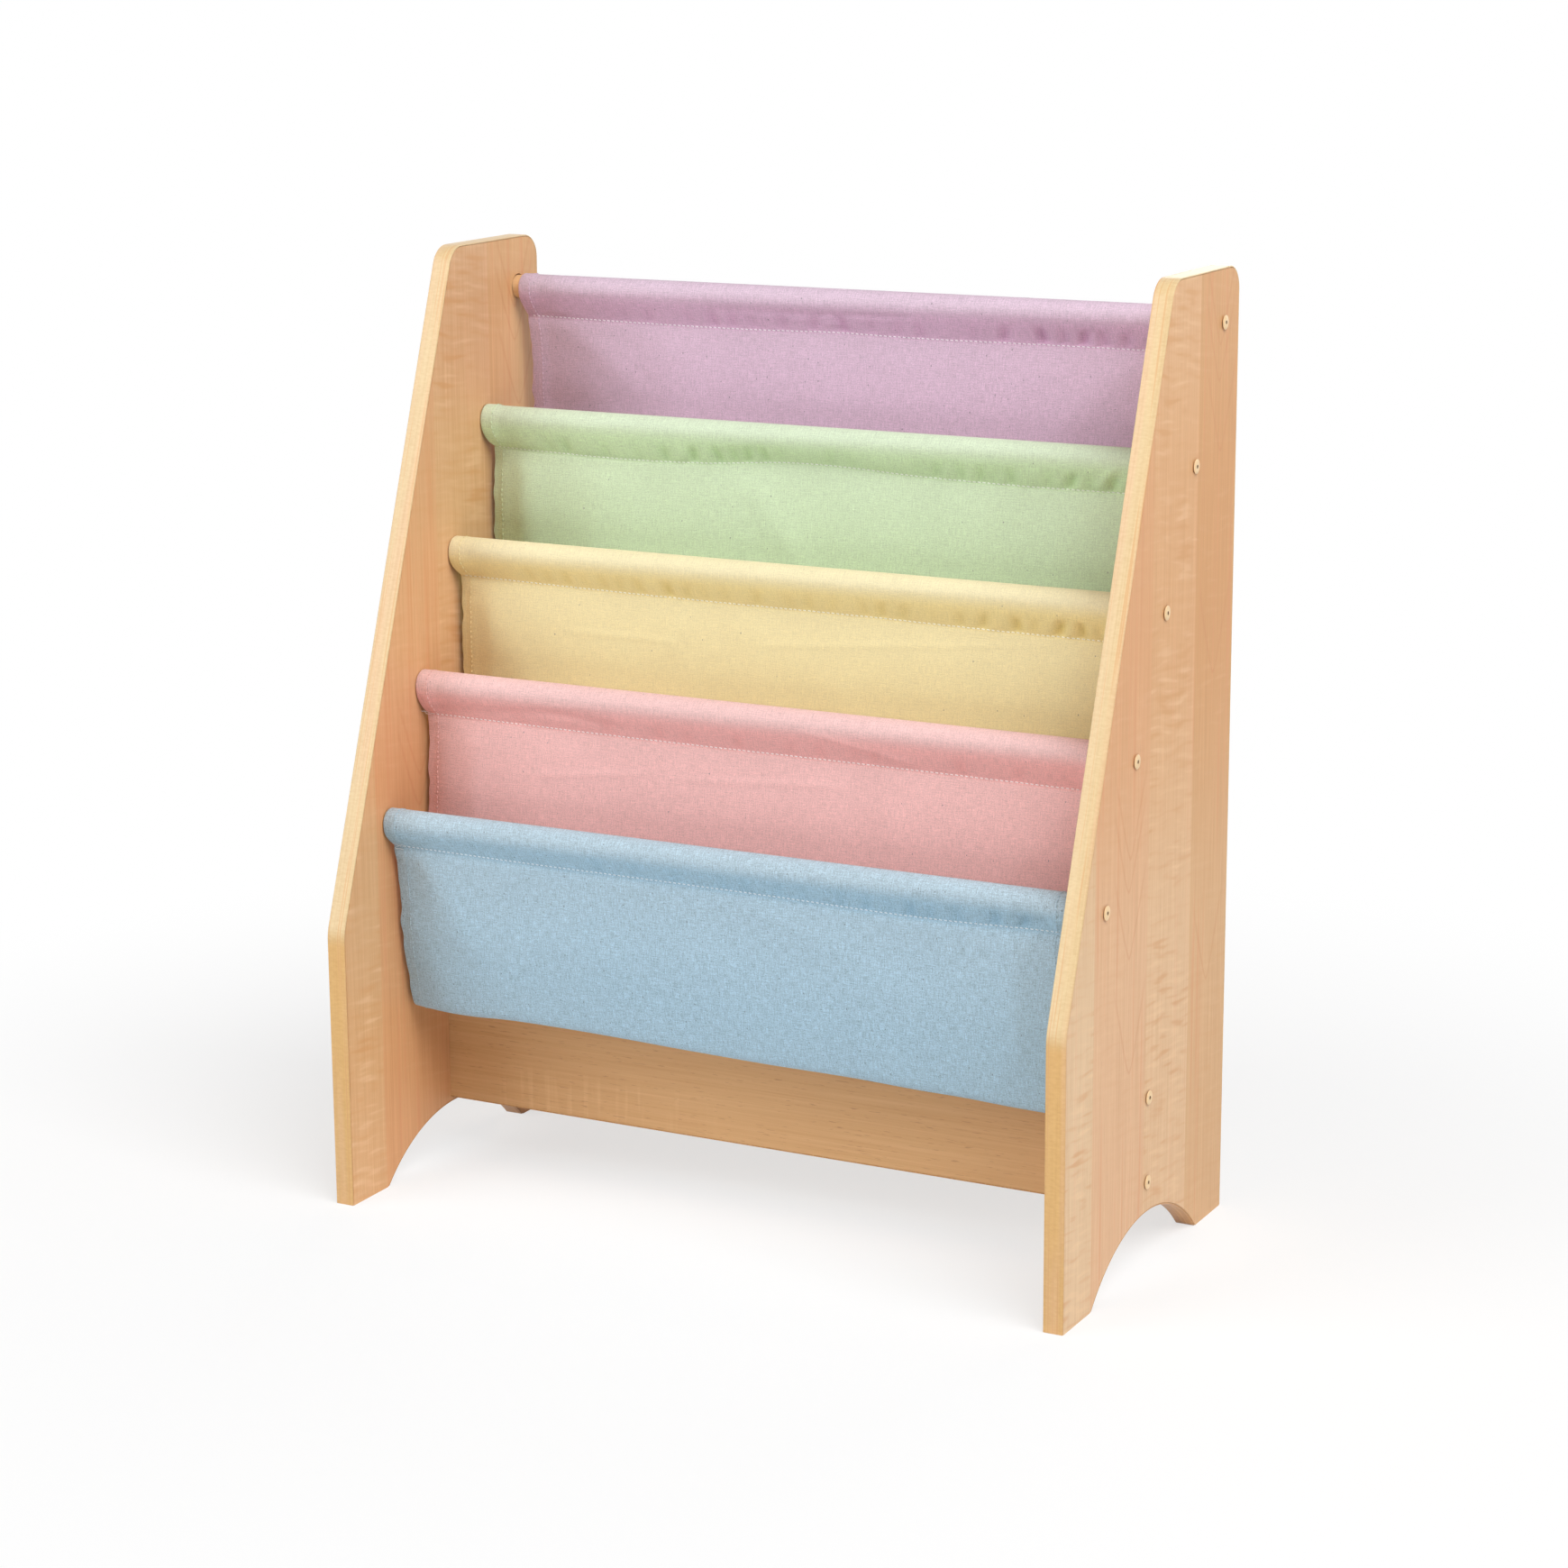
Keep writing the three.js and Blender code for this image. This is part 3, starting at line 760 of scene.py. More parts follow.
# %% Write down how each sling hangs
HALF = 281
FOLD_RADIUS, FOLD_BACK, FOLD_DROP, FOLD_TURN = 12, 24.5, 141, math.radians(15)
LAP_BACK, LAP_TOP, LAP_END = -50.7 + 36.5 - 0.85, 215.3, 234.3
FRONT_LEAN = [(23, -2.0), (31, -1.7), (43, -0.7), (66, 0.5), (79, 0.9), (102, 3.8), (124, 7.8)]
HIDDEN_LEAN = [(30, 0.8), (59, 0.6), (98.7, 3.0), (122.7, 7.6)]
SLINGS = {
    "lilac": {
        "left": -279.0, "top": (10.1, 10.6), "draw": 3.2, "curl": 0.0, "belly": (2.2, 7.0, 6.5),
        "seam": [(-281, 21.8), (-181, 23.3), (-70, 23.5), (-15, 22.4), (50, 23.3), (150, 23.1), (281, 22.9)],
        "edge": [(28, -1.2), (38, 0.2), (51, 1.4), (72, 2.2), (96, 2.6), (125, 1.8), (165, -3.5)],
        "middle": [(28, -1.0), (45, -3.0), (65, -5.3), (85, -8.2), (105, -11.4), (125, -13.4), (165, -14.6)],
        "gathers": [
            (-206, 0.2), (-193, 0.3), (-171, 0.4), (-135, 0.3), (-114, 0.7), (-97, 0.6), (-80, 0.3),
            (-54, 0.5), (-27, 0.5), (-3, 0.9), (21, 0.3), (43, 0.4), (61, 0.5), (104, 0.3), (130, 0.9),
            (160, 1.2), (177, 0.6), (194, 1.1), (209, 0.7), (227, 0.6),
        ],
        "folds": [
            (-112, 9, -60, 8, 3, -0.7), (-44, 9, 48, 7, 2.4, -1.0), (56, 6, 58, 19, 3, 1.3),
            (-14, 16, 2, 16, 2, 0.6), (-250, 24, -198, 62, 13, 1.3), (-226, 78, -196, 104, 14, 0.3),
            (226, 38, 176, 90, 13, 1.2), (-60, 70, 90, 76, 16, 0.5),
        ],
    },
    "green": {
        "left": -284.6, "top": (9.9, 10.2), "draw": 5.4, "curl": 0.75, "belly": (3.6, 4.5, 7.5),
        "seam": [
            (-281, 21.9), (-235, 23.4), (-110, 23.8), (-75, 22.2), (-50, 20.2), (-20, 18.2),
            (35, 18.6), (75, 20.6), (115, 22.0), (160, 22.7), (281, 22.6),
        ],
        "edge": [
            (28, -2.6), (38, -5.0), (50, -6.6), (66, -7.2),
            (84, -6.6), (100, -6.4), (130, -8.0), (170, -11.5),
        ],
        "middle": [(28, -1.2), (45, -3.3), (65, -5.7), (85, -8.7), (105, -12.0), (125, -13.8), (170, -14.8)],
        "gathers": [
            (-226, 0.3), (-211, 0.7), (-176, 0.4), (-147, 0.2), (-123, 0.7), (-98, 1.0), (-77, 1.0),
            (-63, 0.8), (-51, 1.0), (-37, 0.9), (-24, 0.3), (19, 0.4), (35, 0.2), (91, 0.2), (106, 0.6),
            (126, 0.6), (142, 0.7), (152, 0.3), (166, 0.7), (196, 0.4), (214, 1.0), (228, 0.4), (247, 0.8),
        ],
        "folds": [
            (238, 16, 250, 0, 3, 1.2), (-246, 26, -240, 106, 11, 1.1), (262, 44, 262, 104, 34, 0.6),
            (-50, 38, -8, 88, 11, 1.1), (-186, 40, -188, 98, 12, 0.7), (-116, 38, -118, 98, 12, 0.6),
            (60, 36, 54, 84, 20, 0.6), (206, 60, 200, 104, 13, 0.5),
        ],
    },
    "yellow": {
        "left": -284.6, "top": (11.2, 11.3), "draw": 4.4, "curl": 0.65, "belly": (3.4, 5.5, 7.0),
        "seam": [(-281, 18.4), (-210, 19.9), (-85, 21.4), (80, 22.2), (170, 23.6), (281, 24.2)],
        "edge": [
            (27, -2.6), (37, -4.2), (50, -5.0), (66, -4.8),
            (84, -4.6), (100, -5.4), (130, -7.5), (170, -11.5),
        ],
        "middle": [(28, -1.2), (45, -3.2), (65, -5.4), (85, -8.0), (105, -10.9), (125, -12.9), (170, -14.4)],
        "gathers": [
            (-214, 0.4), (-198, 0.4), (-181, 0.6), (-165, 0.3), (-149, 0.5), (-135, 0.4), (-118, 0.6),
            (-93, 0.9), (-76, 0.5), (-62, 0.3), (-44, 0.3), (-17, 0.5), (10, 0.3), (26, 0.4), (46, 0.3),
            (71, 0.4), (86, 0.7), (104, 0.5), (128, 0.2), (149, 0.5), (168, 0.7), (194, 1.0), (208, 0.4),
            (228, 1.2), (245, 1.0), (258, 0.4),
        ],
        "folds": [
            (-262, 32, -212, 104, 16, 1.1), (-74, 28, -89, 56, 7, 0.9),
            (-174, 54, -97, 54, 2.2, 0.4), (6, 49, 163, 36, 2.2, 0.45), (163, 36, 216, 31, 2.2, 0.4),
            (222, 30, 188, 98, 10, 0.4), (233, 50, 227, 104, 9, 0.5),
            (264, 44, 264, 104, 34, 0.9), (30, 66, 60, 98, 20, 0.6),
        ],
    },
    "pink": {
        "left": -284.6, "top": (12.2, 12.0), "draw": 3.4, "curl": 0.65, "belly": (2.4, 6.0, 8.0),
        "seam": [(-281, 21.2), (-215, 21.9), (-105, 22.9), (80, 23.2), (281, 24.4)],
        "edge": [
            (28, -2.4), (38, -3.4), (50, -3.9), (66, -4.8),
            (84, -6.4), (100, -7.4), (130, -9.2), (170, -12.4),
        ],
        "middle": [(28, -1.2), (45, -3.4), (65, -6.0), (85, -8.6), (105, -11.0), (125, -12.9), (170, -14.4)],
        "gathers": [
            (-197, 0.2), (-119, 0.3), (-74, 0.3), (-50, 0.2), (-7, 0.4), (36, 0.2), (61, 0.3), (89, 0.2),
            (105, 0.3), (174, 0.4), (219, 0.3),
        ],
        "folds": [
            (-262, 17, -150, 9, 4, -0.8), (-168, 9, -110, 15, 3, -1.0), (59, 3, 126, 17, 3, 0.9),
            (-236, 44, -238, 104, 11, 1.7), (-264, 46, -264, 104, 9, 1.2), (-174, 58, -97, 50, 2.2, 0.45),
            (-41, 49, 63, 42, 2.2, 0.45), (124, 62, 120, 102, 6, 1.4), (100, 72, 97, 102, 9, -0.6),
            (264, 36, 210, 96, 10, 0.5),
        ],
    },
    "blue": {
        "left": -284.3, "top": (10.9, 11.2), "draw": 3.0, "curl": 0.5, "belly": (2.4, 6.0, 8.0),
        "seam": [
            (-281, 17.4), (-180, 18.4), (-30, 18.7), (60, 19.2),
            (135, 20.3), (190, 20.0), (230, 18.8), (281, 17.4),
        ],
        "gathers": [
            (-99, 0.3), (-66, 0.3), (-33, 0.2), (7, 0.3), (25, 0.3), (52, 0.3), (73, 0.2), (102, 0.3),
            (123, 0.5), (141, 0.3), (158, 0.7), (173, 0.4), (194, 0.4), (224, 0.7), (246, 0.7),
        ],
        "folds": [
            (246, 11, 264, 11, 5, -1.2), (-250, 28, -218, 88, 12, 1.7), (-270, 40, -248, 96, 9, -0.9),
            (240, 32, 240, 122, 9, 1.6), (215, 42, 215, 118, 9, -0.9), (45, 32, 142, 76, 15, 1.3),
            (-120, 50, -90, 110, 24, 0.7), (-20, 70, 20, 130, 24, 0.6),
        ],
    },
}
FOLD_SAG = [
    (-281, -2.4), (-251, -0.6), (-225, -0.7), (-204, -1.8), (-151, -2.2), (-90, -1.2), (-52, -0.1),
    (-14, 0.7), (24, 1.4), (106, 1.9), (156, 3.4), (191, 3.8), (227, 5.2), (281, 6.2),
]
print("slings from", ", ".join(SLINGS))

# %% [markdown]
# ## Smooth lines through a few points
# A drawn line needs few points if what joins them is smooth. This is the usual Catmull-Rom rule,
# written for many places at once.

# %% Define the smooth line


def smooth_line(points, at):
    xs, ys = np.array(points, float).T
    slopes = np.gradient(ys, xs)
    at = np.clip(np.asarray(at, float), xs[0], xs[-1])
    i = np.clip(np.searchsorted(xs, at) - 1, 0, len(xs) - 2)
    gap = xs[i + 1] - xs[i]
    t = (at - xs[i]) / gap
    start = (2 * t**3 - 3 * t**2 + 1) * ys[i] + (t**3 - 2 * t**2 + t) * gap * slopes[i]
    return start + (3 * t**2 - 2 * t**3) * ys[i + 1] + (t**3 - t**2) * gap * slopes[i + 1]


def ease(value):
    t = np.clip(value, 0, 1)
    return t * t * (3 - 2 * t)


def ripple(x, seed, shortest, longest, count):
    """An uneven wave along x: a few sine waves with set, unrelated lengths and starts."""
    chance = np.random.default_rng(seed)
    lengths = np.geomspace(shortest, longest, count) * chance.uniform(0.85, 1.15, count)
    starts = chance.uniform(0, math.tau, count)
    waves = [np.sin(math.tau * x / length + start) for length, start in zip(lengths, starts)]
    return sum(waves) / math.sqrt(count)


print("a smooth line at 5 of 0 to 10:", smooth_line([(0, 0), (4, 2), (10, 3)], [5]))

# %% [markdown]
# ## The strip's line at each place across
# The line has up to five parts: the back wall from its lap up to the seam, the sleeve's front, the
# turn over the rod, the sleeve's back, and the front wall with its fold. The sleeve's lower front is
# slack, so it bellies out, and short dents rise from the seam where the cloth is gathered. Longer folds
# are drawn as straight strokes: from where to where, how wide, and how far they stand out. Near the
# side hems the cloth is double, so the sleeve is wider there and the layers part more at the seam.

# %% Define the strip's line
CLOTH = 0.7
LAYER = CLOTH / 2 + 0.05
HEM, HEM_ROOM = 9.5, 0.9
SLEEVE_RADIUS = 9.42
GATHER_DEPTH = 2.9


def hem_share(x):
    """1 where the cloth is double along its sides, 0 elsewhere."""
    return ease((HEM + 5 - (HALF - np.abs(x))) / 5)


def gathers(x, up, places):
    """How deep the slack sleeve is gathered: each short dent is deepest just above the seam."""
    total = 0
    for i, (at, deep) in enumerate(places):
        lean = (i % 3 - 1) * 0.2 * (up - 7)
        total = total + deep * np.exp(-(((x - at - lean) / 4.3) ** 2))
    return total * (up / 6) * np.exp(1 - up / 6) * (1 - ease((up - 9) / 8)) * (up > 0)


def folds(x, depth, strokes):
    """How far the cloth stands out: each stroke runs from place to place and fades past its ends."""
    total = 0 * (x + depth)
    for x1, d1, x2, d2, wide, out in strokes:
        long = math.hypot(x2 - x1, d2 - d1)
        along = ((x - x1) * (x2 - x1) + (depth - d1) * (d2 - d1)) / long
        across = ((x - x1) * (d2 - d1) - (depth - d1) * (x2 - x1)) / long
        past = np.maximum(np.abs(along - long / 2) - long / 2, 0) / (wide + long * 0.12)
        total = total + out * np.exp(-((across / wide) ** 2) - past**2)
    return total


def hang(corners, t):
    """A point on the curve that four corners pull, as a drawing program does it."""
    shares = ((1 - t) ** 3, 3 * t * (1 - t) ** 2, 3 * t * t * (1 - t), t**3)
    return sum(share * np.stack(np.broadcast_arrays(*corner), -1) for share, corner in zip(shares, corners))


def sleeve(x, spec):
    """Rows of (back, up) from the front of the seam over the rod to its back, at each x."""
    hem = hem_share(x)
    drop = smooth_line(spec["seam"], x)
    high = np.interp(x, (-HALF, HALF), spec["top"]) - CLOTH / 2
    radius = SLEEVE_RADIUS + 0.25 * ease((high - 9.5) / 2) + 0.8 * hem
    lift = np.maximum(high - radius, -0.05)
    gap = LAYER + HEM_ROOM * hem
    rows = []
    full = ease((26 - HALF + np.abs(x)) / 20)
    out, rise, hold = spec["belly"]
    low = (-gap - out - 1.3 * full, rise - full - drop)
    front = [(-gap, -drop), low, (0.3 - radius - 1.2 * full, lift - hold - 2 * full), (-radius, lift)]
    for t in np.linspace(0, 1, 19)[:-1]:
        line = hang(front, t)
        up = line[:, 1] + drop
        proud = folds(x, -line[:, 1], spec["folds"]) * ease(up / 4) * (1 - t**6)
        dent = (GATHER_DEPTH * gathers(x, up, spec["gathers"]) - proud) * (1 - hem)
        line = line + np.stack([dent, 0 * x], -1)
        rows.append(line * np.maximum(1, 9.45 / np.hypot(*line.T))[:, None])
    for angle in np.linspace(math.pi, 0, 25):
        rows.append(np.stack([radius * math.cos(angle), lift + radius * math.sin(angle)], -1))
    back = [(radius, lift), (radius + 0.3, lift - 8), (gap + 4, 3 - drop), (gap, -drop)]
    rows += [hang(back, t) for t in np.linspace(0, 1, 9)[1:]]
    return rows, gap, drop


def soft_waves(x, depth, seed, strokes=()):
    """Shallow upright waves and the drawn folds, less at the very edges."""
    calm = ease((HALF - np.abs(x) - 4) / 40)
    wave = 0.5 * ripple(x, seed, 70, 260, 5) * calm
    return wave - folds(x, depth, strokes) * ease((HALF - np.abs(x) - 1) / 14)


def back_wall(x, spec, drop, seed):
    """Rows from the lap's end up to the seam's front."""
    rows = []
    start, end = [(21, -LAYER)], [(LAP_TOP, LAP_BACK), (LAP_END, LAP_BACK)]
    inward = ease((x + HALF) / 150)
    for t in np.concatenate([np.linspace(1, 0.36, 40), np.linspace(0.36, 0.0, 36)[1:-1]]):
        depth = drop + (LAP_END - drop) * t
        at_edge = smooth_line(start + spec["edge"] + end, depth)
        back = at_edge + (smooth_line(start + spec["middle"] + end, depth) - at_edge) * inward
        back = back - HEM_ROOM * hem_share(x)
        shown = ease((depth - drop) / 22) * (1 - ease((depth - 130) / 60))
        back = back + soft_waves(x, depth, seed, spec["folds"]) * shown
        rows.append(np.stack([back, -depth], -1))
    return rows


def front_wall(x, drop, seed, facing, sag, strokes=()):
    """Rows from the seam down the front wall, round the fold and up to the lap."""
    rows = []
    start = FOLD_DROP + FOLD_RADIUS * math.sin(FOLD_TURN)
    end = (start, FOLD_BACK - FOLD_RADIUS * math.cos(FOLD_TURN))
    lean = [(17, facing * LAYER)] + (FRONT_LEAN if facing < 0 else HIDDEN_LEAN) + [end]
    for t in np.linspace(0, 1, 42)[1:]:
        depth = drop + (start + sag - drop) * t
        back = smooth_line(lean, depth - sag * t)
        back = back + facing * HEM_ROOM * hem_share(x) * ease((60 - depth) / 30)
        shown = ease((depth - drop) / 18) * (1 - ease((depth - 96) / 44))
        rows.append(np.stack([back + soft_waves(x, depth, seed, strokes) * shown, -depth], -1))
    for t in np.linspace(0, 1, 19)[1:]:
        angle = math.pi + FOLD_TURN + (math.pi - FOLD_TURN) * t
        back = FOLD_BACK + FOLD_RADIUS * math.cos(angle) + 0 * x
        rows.append(np.stack([back, -FOLD_DROP - sag + FOLD_RADIUS * math.sin(angle)], -1))
    for t in np.linspace(0, 1, 9)[1:]:
        rows.append(np.stack([FOLD_BACK + FOLD_RADIUS + 0 * x, -FOLD_DROP - sag + (23 + sag) * t], -1))
    return rows


def allowance(gap, drop):
    """The few millimetres of the strip's end that stay below the seam on its hidden side."""
    return [np.stack([gap, -drop - 8 * t], -1) for t in np.linspace(0, 1, 5)[1:]]


def strip_line(name, i, x):
    """The line at each x, how far the seam is below the rod, the seam's row, and which rows are sleeve."""
    spec = SLINGS[name]
    rows, gap, drop = sleeve(x, spec)
    if name == "blue":
        before, rows = allowance(gap, drop)[::-1], rows[::-1]
        after = front_wall(x, drop, 30 + i, -1, smooth_line(FOLD_SAG, x), spec["folds"])
        seam = len(before + rows) - 1
        first, last = 0, seam
    else:
        before = back_wall(x, spec, drop, 20 + i)
        sag = ripple(x, 40 + i, 150, 420, 3)
        after = allowance(gap, drop) if name == "lilac" else front_wall(x, drop, 20 + i, 1, sag)
        seam = len(before)
        first, last = seam, seam + len(rows) - 1
    line = np.stack(before + rows + after, 1)
    place = np.arange(line.shape[1])
    return line, drop, seam, (place >= first) & (place <= last)


print("a strip's line has", strip_line("green", 1, np.array([0.0]))[0].shape[1], "points")

# %% [markdown]
# ## Sweeping the line into cloth
# The line is laid at some two hundred places across. Below the seam the sling draws in a little, and
# at the left its edge meets the board and bends back along it. At each side the strip turns round a
# tiny radius and runs back under itself, which is the side hem. A UV map in metres goes with it for the
# weave, and Solidify gives the canvas its thickness.

# %% Define the sweep
ACROSS = 190
HEM_STEPS = (HEM, HEM * 0.66, HEM * 0.33, 0.6)
TURN_STEPS = np.radians([150, 120, 90, 60, 30])
UNDER = len(HEM_STEPS) + len(TURN_STEPS)


def columns():
    """For each column: where it reads the line, its shift sideways, and how far it lies under."""
    bend = HEM_ROOM / 2
    side = [(HALF - h, 0.0, HEM_ROOM) for h in HEM_STEPS]
    side += [(HALF, bend * math.sin(a), bend * (1 - math.cos(a))) for a in TURN_STEPS]
    main = [(x, 0.0, 0.0) for x in np.linspace(-HALF, HALF, ACROSS)]
    return np.array([(-x, -shift, under) for x, shift, under in side] + main + side[::-1])


def swept(name, i):
    """The strip's points in metres, each one's outward side and painted light and shade, and its lengths both
    ways.
    """
    spec = SLINGS[name]
    x, shift, under = columns().T
    line, drop, seam, sleeved = strip_line(name, i, x)
    y, z = RODS[i]
    depth = -line[..., 1]
    below = depth - drop[:, None]
    left = (x < 0)[:, None]
    draw = spec["draw"] * np.clip(depth / drop[:, None], 0, 1) ** 2.2 + 1.2 * ease(below / 14)
    bent = spec["curl"] * ease((depth - 12) / 24) * (1 - ease((depth - 125) / 40)) * left
    edge = x[:, None] + HALF
    pushed = 1.91 * draw * bent * (1 - 0.5 * ease(edge / 14) - 0.5 * ease((edge - 8) / 26))
    draw = draw * (1 - bent) + 1.5 * ease((depth - 14) / 16) * left * (spec["curl"] > 0)
    flutter = 0.7 * ripple(depth, 60 + i, 16, 60, 4) * ease((depth - 30) / 20)
    place_x = x[:, None] * (1 - draw / HALF) + spec["left"] + HALF + shift[:, None]
    place_x = place_x + flutter * np.sign(x)[:, None] * np.exp(-((HALF - np.abs(x)) / 9))[:, None]
    spots = np.stack([place_x, line[..., 0] + pushed + y / MM, line[..., 1] + z / MM], -1)
    down = np.gradient(spots, axis=1)
    flat = np.stack([0 * down[..., 0], down[..., 2], -down[..., 1]], -1)
    flat /= np.maximum(np.linalg.norm(flat, axis=-1, keepdims=True), 1e-9)
    facing = -1 if name == "blue" else 1
    spots = spots + flat * under[:, None, None] * facing
    lengths = np.linalg.norm(np.diff(spots[len(x) // 2], axis=0), axis=1)
    run = np.concatenate([[0], np.cumsum(lengths)])
    widths = np.linalg.norm(np.diff(spots[:, 0], axis=0), axis=1)
    across = np.concatenate([[0], np.cumsum(widths)])
    # Painted light and shade for the canvas: 1 at the sleeve's top for a painted highlight, falling to 0
    # lower on the sleeve and from 0.6 to 0.3 down the body for painted shade, below 0 in the gathers for the
    # darkest painted shade.
    painted_light_shade = np.where(sleeved, 1 - ease((depth + 4) / 13), 0.6 - 0.3 * np.clip((depth - 30) / 80, 0, 1))
    painted_light_shade = painted_light_shade - gathers(x[:, None], -below, spec["gathers"]) * sleeved
    sweep = {"spots": spots * MM, "out": flat * -facing, "across": across * MM, "run": run * MM}
    return {**sweep, "seam": seam, "painted_light_shade": painted_light_shade}


def cloth_piece(name, sweep):
    """Makes the canvas from the strip's points, and tells its width and length."""
    spots, across, run = sweep["spots"], sweep["across"], sweep["run"]
    nx, ns = spots.shape[:2]
    index = np.arange(nx * ns).reshape(nx, ns)
    corners = [index[:-1, :-1], index[1:, :-1], index[1:, 1:], index[:-1, 1:]]
    if name == "blue":
        corners.reverse()
    faces = np.stack(corners, -1).reshape(-1, 4)
    mesh = bpy.data.meshes.new(name)
    mesh.from_pydata(spots.reshape(-1, 3).tolist(), [], faces.tolist())
    uv = mesh.uv_layers.new(name="threads")
    corner_vertex = np.zeros(len(mesh.loops), int)
    mesh.loops.foreach_get("vertex_index", corner_vertex)
    pair = np.stack([across[corner_vertex // ns] - across[-1] / 2, run[corner_vertex % ns]], -1)
    uv.data.foreach_set("uv", pair.ravel())
    # The painted light and shade goes to the canvas as a point attribute.
    mesh.attributes.new("painted_light_shade", "FLOAT", "POINT").data.foreach_set("value", sweep["painted_light_shade"].ravel())
    piece = linked("cloth_" + name, mesh)
    modify(piece, "SOLIDIFY", thickness=CLOTH * MM, offset=0, use_even_offset=False)
    active(piece)
    bpy.ops.object.shade_smooth()
    return piece, across[-1], run[-1]


sweeps, cloths = {}, []
for i, name in enumerate(SLINGS):
    sweeps[name] = swept(name, i)
    piece, wide, long = cloth_piece(name, sweeps[name])
    finish_piece(piece, canvases[name], name + "_canvas", "sling_" + name)
    cloths.append((piece, wide, long))
    print(name, "strip:", round(wide / MM), "by", round(long / MM), "mm,", len(piece.data.polygons), "faces")

# %% [markdown]
# ## Stitches
# A machine stitch shows as a row of short dashes of thread, each sunk a little at both ends, with a
# needle hole between one dash and the next; along the seam each hole is a flat bead painted dark, as
# painted shade. One dash is modelled from a bar with six sides, and the rows are copies of it laid along the
# seams.

# %% Model one stitch
STITCH = 3.9 * MM


def one_stitch():
    lying_bar(6, 0.44 * MM, 2.5 * MM, (0, 0, 0))
    dash = named("stitch")
    for place in (0.75 * MM, -0.75 * MM):
        edit(dash)
        bpy.ops.mesh.bisect(plane_co=(place, 0, 0), plane_no=(1, 0, 0))
        done()
    edit(dash, lambda corner: abs(corner.co.x) > 1.1 * MM, "VERT")
    bpy.ops.transform.resize(value=(1, 0.55, 0.55), center_override=(0, 0, 0))
    bpy.ops.transform.translate(value=(0, 0.36 * MM, 0))
    done()
    return dash


def one_hole():
    """The shade in a needle hole: a flat bead, painted dark as shade, that barely stands out of the cloth."""
    place = (STITCH / 2, 0.06 * MM, 0)
    bpy.ops.mesh.primitive_cylinder_add(
        vertices=8, radius=0.4 * MM, depth=0.1 * MM, location=place, rotation=(math.pi / 2, 0, 0)
    )
    return named("hole")


def as_pattern(piece):
    """A piece's points and faces, kept for the rows; the piece itself goes."""
    spots = [corner.co.copy() for corner in piece.data.vertices]
    faces = [list(face.vertices) for face in piece.data.polygons]
    bpy.data.objects.remove(piece)
    return spots, faces


dash, hole = as_pattern(one_stitch()), as_pattern(one_hole())
print("one stitch has", len(dash[1]), "faces and a needle hole", len(hole[1]))

# %% Define a row of stitches


def stitch_marks(path, outward):
    """Places and turns along a path on the cloth: X runs along it and -Y points out of the cloth."""
    lengths = np.concatenate([[0], np.cumsum(np.linalg.norm(np.diff(path, axis=0), axis=1))])
    for mark in np.arange(STITCH / 2, lengths[-1] - STITCH / 2, STITCH):
        here, ahead, out = (
            Vector([np.interp(at, lengths, values[:, k]) for k in range(3)])
            for at, values in ((mark, path), (mark + 1.5 * MM, path), (mark, outward))
        )
        way = (ahead - here).normalized()
        back = -(out - way * out.dot(way)).normalized()
        yield here, Matrix((way, back, way.cross(back))).transposed()


def face_outward(piece):
    edit(piece)
    bpy.ops.mesh.normals_make_consistent(inside=False)
    done()
    smooth(piece, 60)


def stitched(name, rows, thread, slot, pattern=dash, tilt=0.16):
    """One piece of many dashes: rows are pairs of a path of points and the outward side at each."""
    spots, faces = [], []
    for path, outward in rows:
        for here, turn in stitch_marks(np.asarray(path), np.asarray(outward)):
            turn = turn @ Matrix.Rotation(tilt, 3, "Y")
            faces += [[len(spots) + k for k in face] for face in pattern[1]]
            spots += [here + turn @ spot for spot in pattern[0]]
    mesh = bpy.data.meshes.new(name)
    mesh.from_pydata(spots, [], faces)
    piece = linked(name, mesh)
    face_outward(piece)
    return finish_piece(piece, thread, slot)


# %% Sew the seams, the side hems and the laps
SKIN = (CLOTH / 2 + 0.12) * MM
LAP_ROWS = (2, 7)


def offset(sweep, column, row):
    """Points on the cloth's outer skin, and the way out of the cloth at each."""
    out = sweep["out"][column, row]
    return sweep["spots"][column, row] + out * SKIN, out


for name, sweep in sweeps.items():
    last = len(sweep["across"]) - 1
    inside = slice(UNDER + 1, last - UNDER)
    laps = () if name == "blue" else LAP_ROWS
    rows = [offset(sweep, inside, row) for row in (sweep["seam"], *laps)]
    hems = [offset(sweep, column, slice(2, None)) for column in (UNDER + 3, last - UNDER - 3)]
    slot = name + "_canvas"
    seamed = stitched("seam_stitches_" + name, rows, seam_threads[name], slot)
    hemmed = stitched("hem_stitches_" + name, hems, hem_threads[name], slot)
    stitched("needle_holes_" + name, rows[:1], needle_hole_shades[name], slot, hole, 0)
    print(name, "seam and hem stitches:", [len(p.data.vertices) // len(dash[0]) for p in (seamed, hemmed)])

# %% [markdown]
# ## Loose thread ends
# Where a seam starts the machine leaves a curl of thread. Two of them show at the left ends of the
# pink and the blue seams. Each is a fine tube along a smooth curve, turned into mesh.

# %% Leave two thread ends


def thread_end(name, points, thread, slot):
    curve = bpy.data.curves.new(name, "CURVE")
    curve.dimensions = "3D"
    curve.bevel_depth = 0.22 * MM
    curve.bevel_resolution = 2
    spline = curve.splines.new("NURBS")
    spline.points.add(len(points) - 1)
    for point, place in zip(spline.points, points):
        point.co = (*place, 1)
    spline.use_endpoint_u = True
    spline.order_u = 4
    tail = linked(name, curve)
    active(tail)
    bpy.ops.object.convert(target="MESH")
    tail = named(name)
    edit(tail)
    bpy.ops.mesh.fill_holes(sides=0)
    done()
    face_outward(tail)
    return finish_piece(tail, thread, slot)


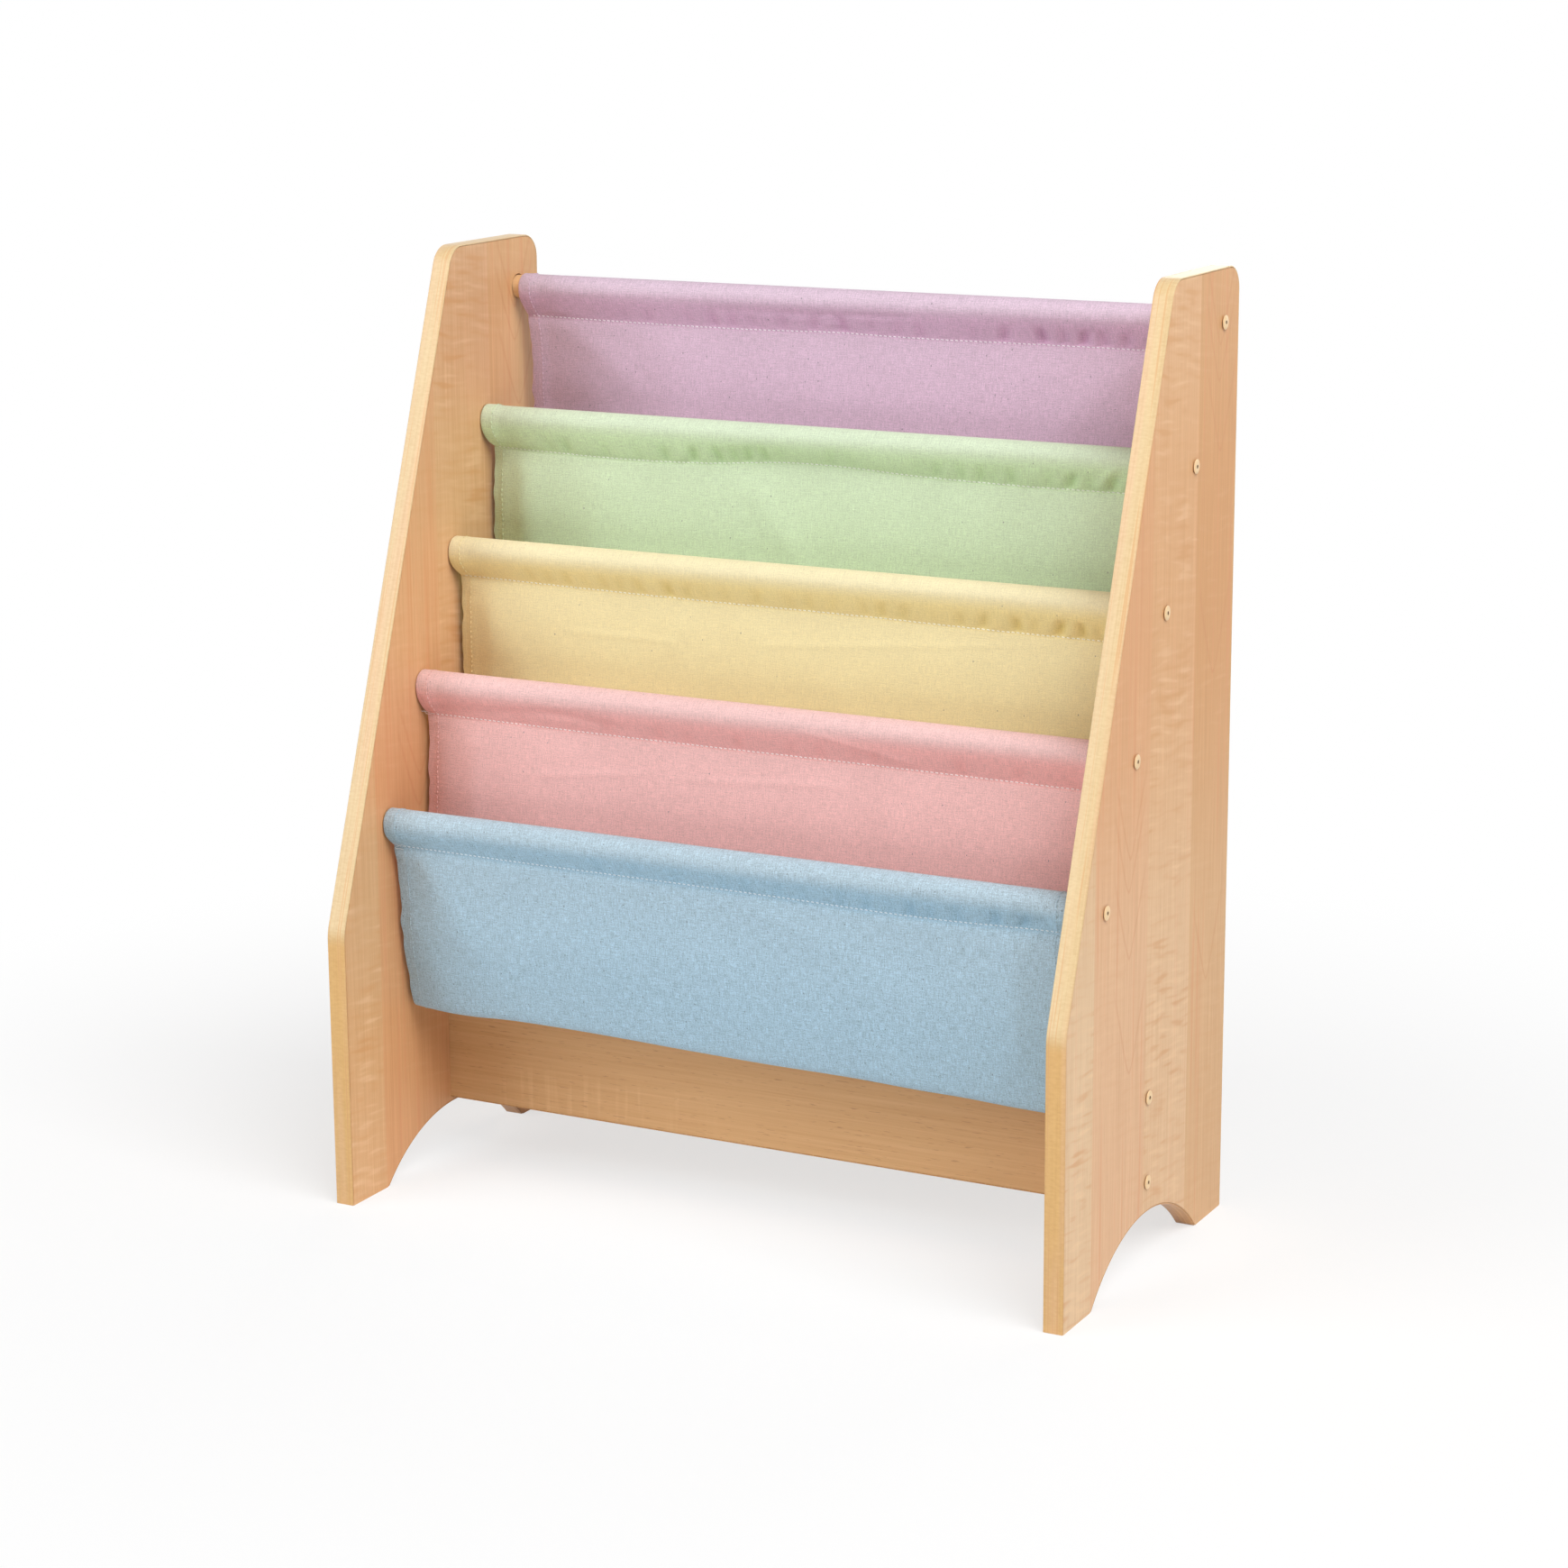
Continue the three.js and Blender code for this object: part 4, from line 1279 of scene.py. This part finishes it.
CURLS = {
    "pink": [
        [
            (5, -0.3, 0), (2, -0.9, 0.4), (-0.5, -1.4, 1.2), (-2.5, -1.6, 1.6), (-3.8, -2.2, 0.8),
            (-4.6, -2.6, 1.8),
        ],
        [(5, -0.3, 0), (2, -0.9, -0.6), (-0.2, -1.5, -0.8), (-1.8, -1.6, 0.4), (-3, -1.9, 2.2)],
    ],
    "blue": [
        [(4, -0.3, 0), (1, -0.8, 1), (-0.8, -1.2, 1.6), (0.8, -1.8, 2), (5, -1.2, 1.4), (11, -0.9, 0.6)],
        [
            (5, -0.3, 0), (2, -0.8, -0.8), (0.2, -1.3, -1.6), (3.2, -1.6, -2.4), (6.5, -1.1, -1.8),
            (8.6, -0.9, -2.6),
        ],
    ],
}
for name, curls in CURLS.items():
    start = Vector(offset(sweeps[name], UNDER, sweeps[name]["seam"])[0])
    for label, curl in zip("ab", curls):
        points = [start + Vector(step) * MM for step in curl]
        tail = thread_end(f"thread_end_{name}_{label}", points, seam_threads[name], name + "_canvas")
        print(tail.name, "has", len(tail.data.polygons), "faces")

# %% [markdown]
# ## Floor, backdrop and light
# The photograph was cut out on white. The floor is white to the camera away from the shelf and keeps
# the soft shadow near it. The shadows on the left board show where the lamps stood: a large key lamp
# far to the right and a weaker one to the left. A last one behind, low and weak, lets the back be seen.
# Each lamp is how far it is turned to the right, how far it is raised, and its power.

# %% Make the floor
bpy.ops.mesh.primitive_plane_add(size=40, location=(0, 0, 0))
floor = named("floor")
paper = Finish("floor_white", 0.9, 0.1)
paper.shader.inputs["Base Color"].default_value = (0.92, 0.92, 0.92, 1)
x, y, z = paper.place()
away = (x * x + y * y).maths("SQRT").band(0.35, 1.1)
white = paper.add("Emission", {}, {"Color": WHITE, "Strength": 1.0})
plain = Wire(paper, paper.shader.outputs[0])
blend = paper.add("MixShader", {}, {0: paper.seen() * (away * 0.35 + 0.65), 1: plain, 2: white})
paper.show(blend, "Material Output")
dress(floor, paper.material)
print("floor laid")

# %% Light the room
ROOM_LIGHT = 0.03
LAMPS = [(60, 51, 368), (-40, 25, 197), (182, 12, 110)]
LAMP_SIZE, LAMP_AWAY = 4.2, 6
world = bpy.data.worlds.new("studio")
bpy.context.scene.world = world
world.use_nodes = True
room = Net(world.node_tree)
shades = [room.add("Background", {}, {"Color": WHITE, "Strength": s}) for s in (ROOM_LIGHT, 1.0)]
room.show(room.add("MixShader", {}, {0: room.seen(), 1: shades[0], 2: shades[1]}), "World Output")


def soft_lamp(turn, rise, watts):
    """A large square lamp, turned so many degrees right of the shelf's front and raised so many."""
    turn, rise = math.radians(turn), math.radians(rise)
    way = Vector((math.sin(turn) * math.cos(rise), -math.cos(turn) * math.cos(rise), math.sin(rise)))
    bpy.ops.object.light_add(type="AREA", location=Vector((0, 0, 0.35)) + way * LAMP_AWAY)
    lamp = bpy.context.object
    lamp.rotation_euler = (-way).to_track_quat("-Z", "Y").to_euler()
    lamp.data.size = LAMP_SIZE
    lamp.data.energy = watts


for turn, rise, watts in LAMPS:
    soft_lamp(turn, rise, watts)
bpy.context.scene.view_settings.view_transform = "Standard"
print("lit by", len(LAMPS), "lamps")
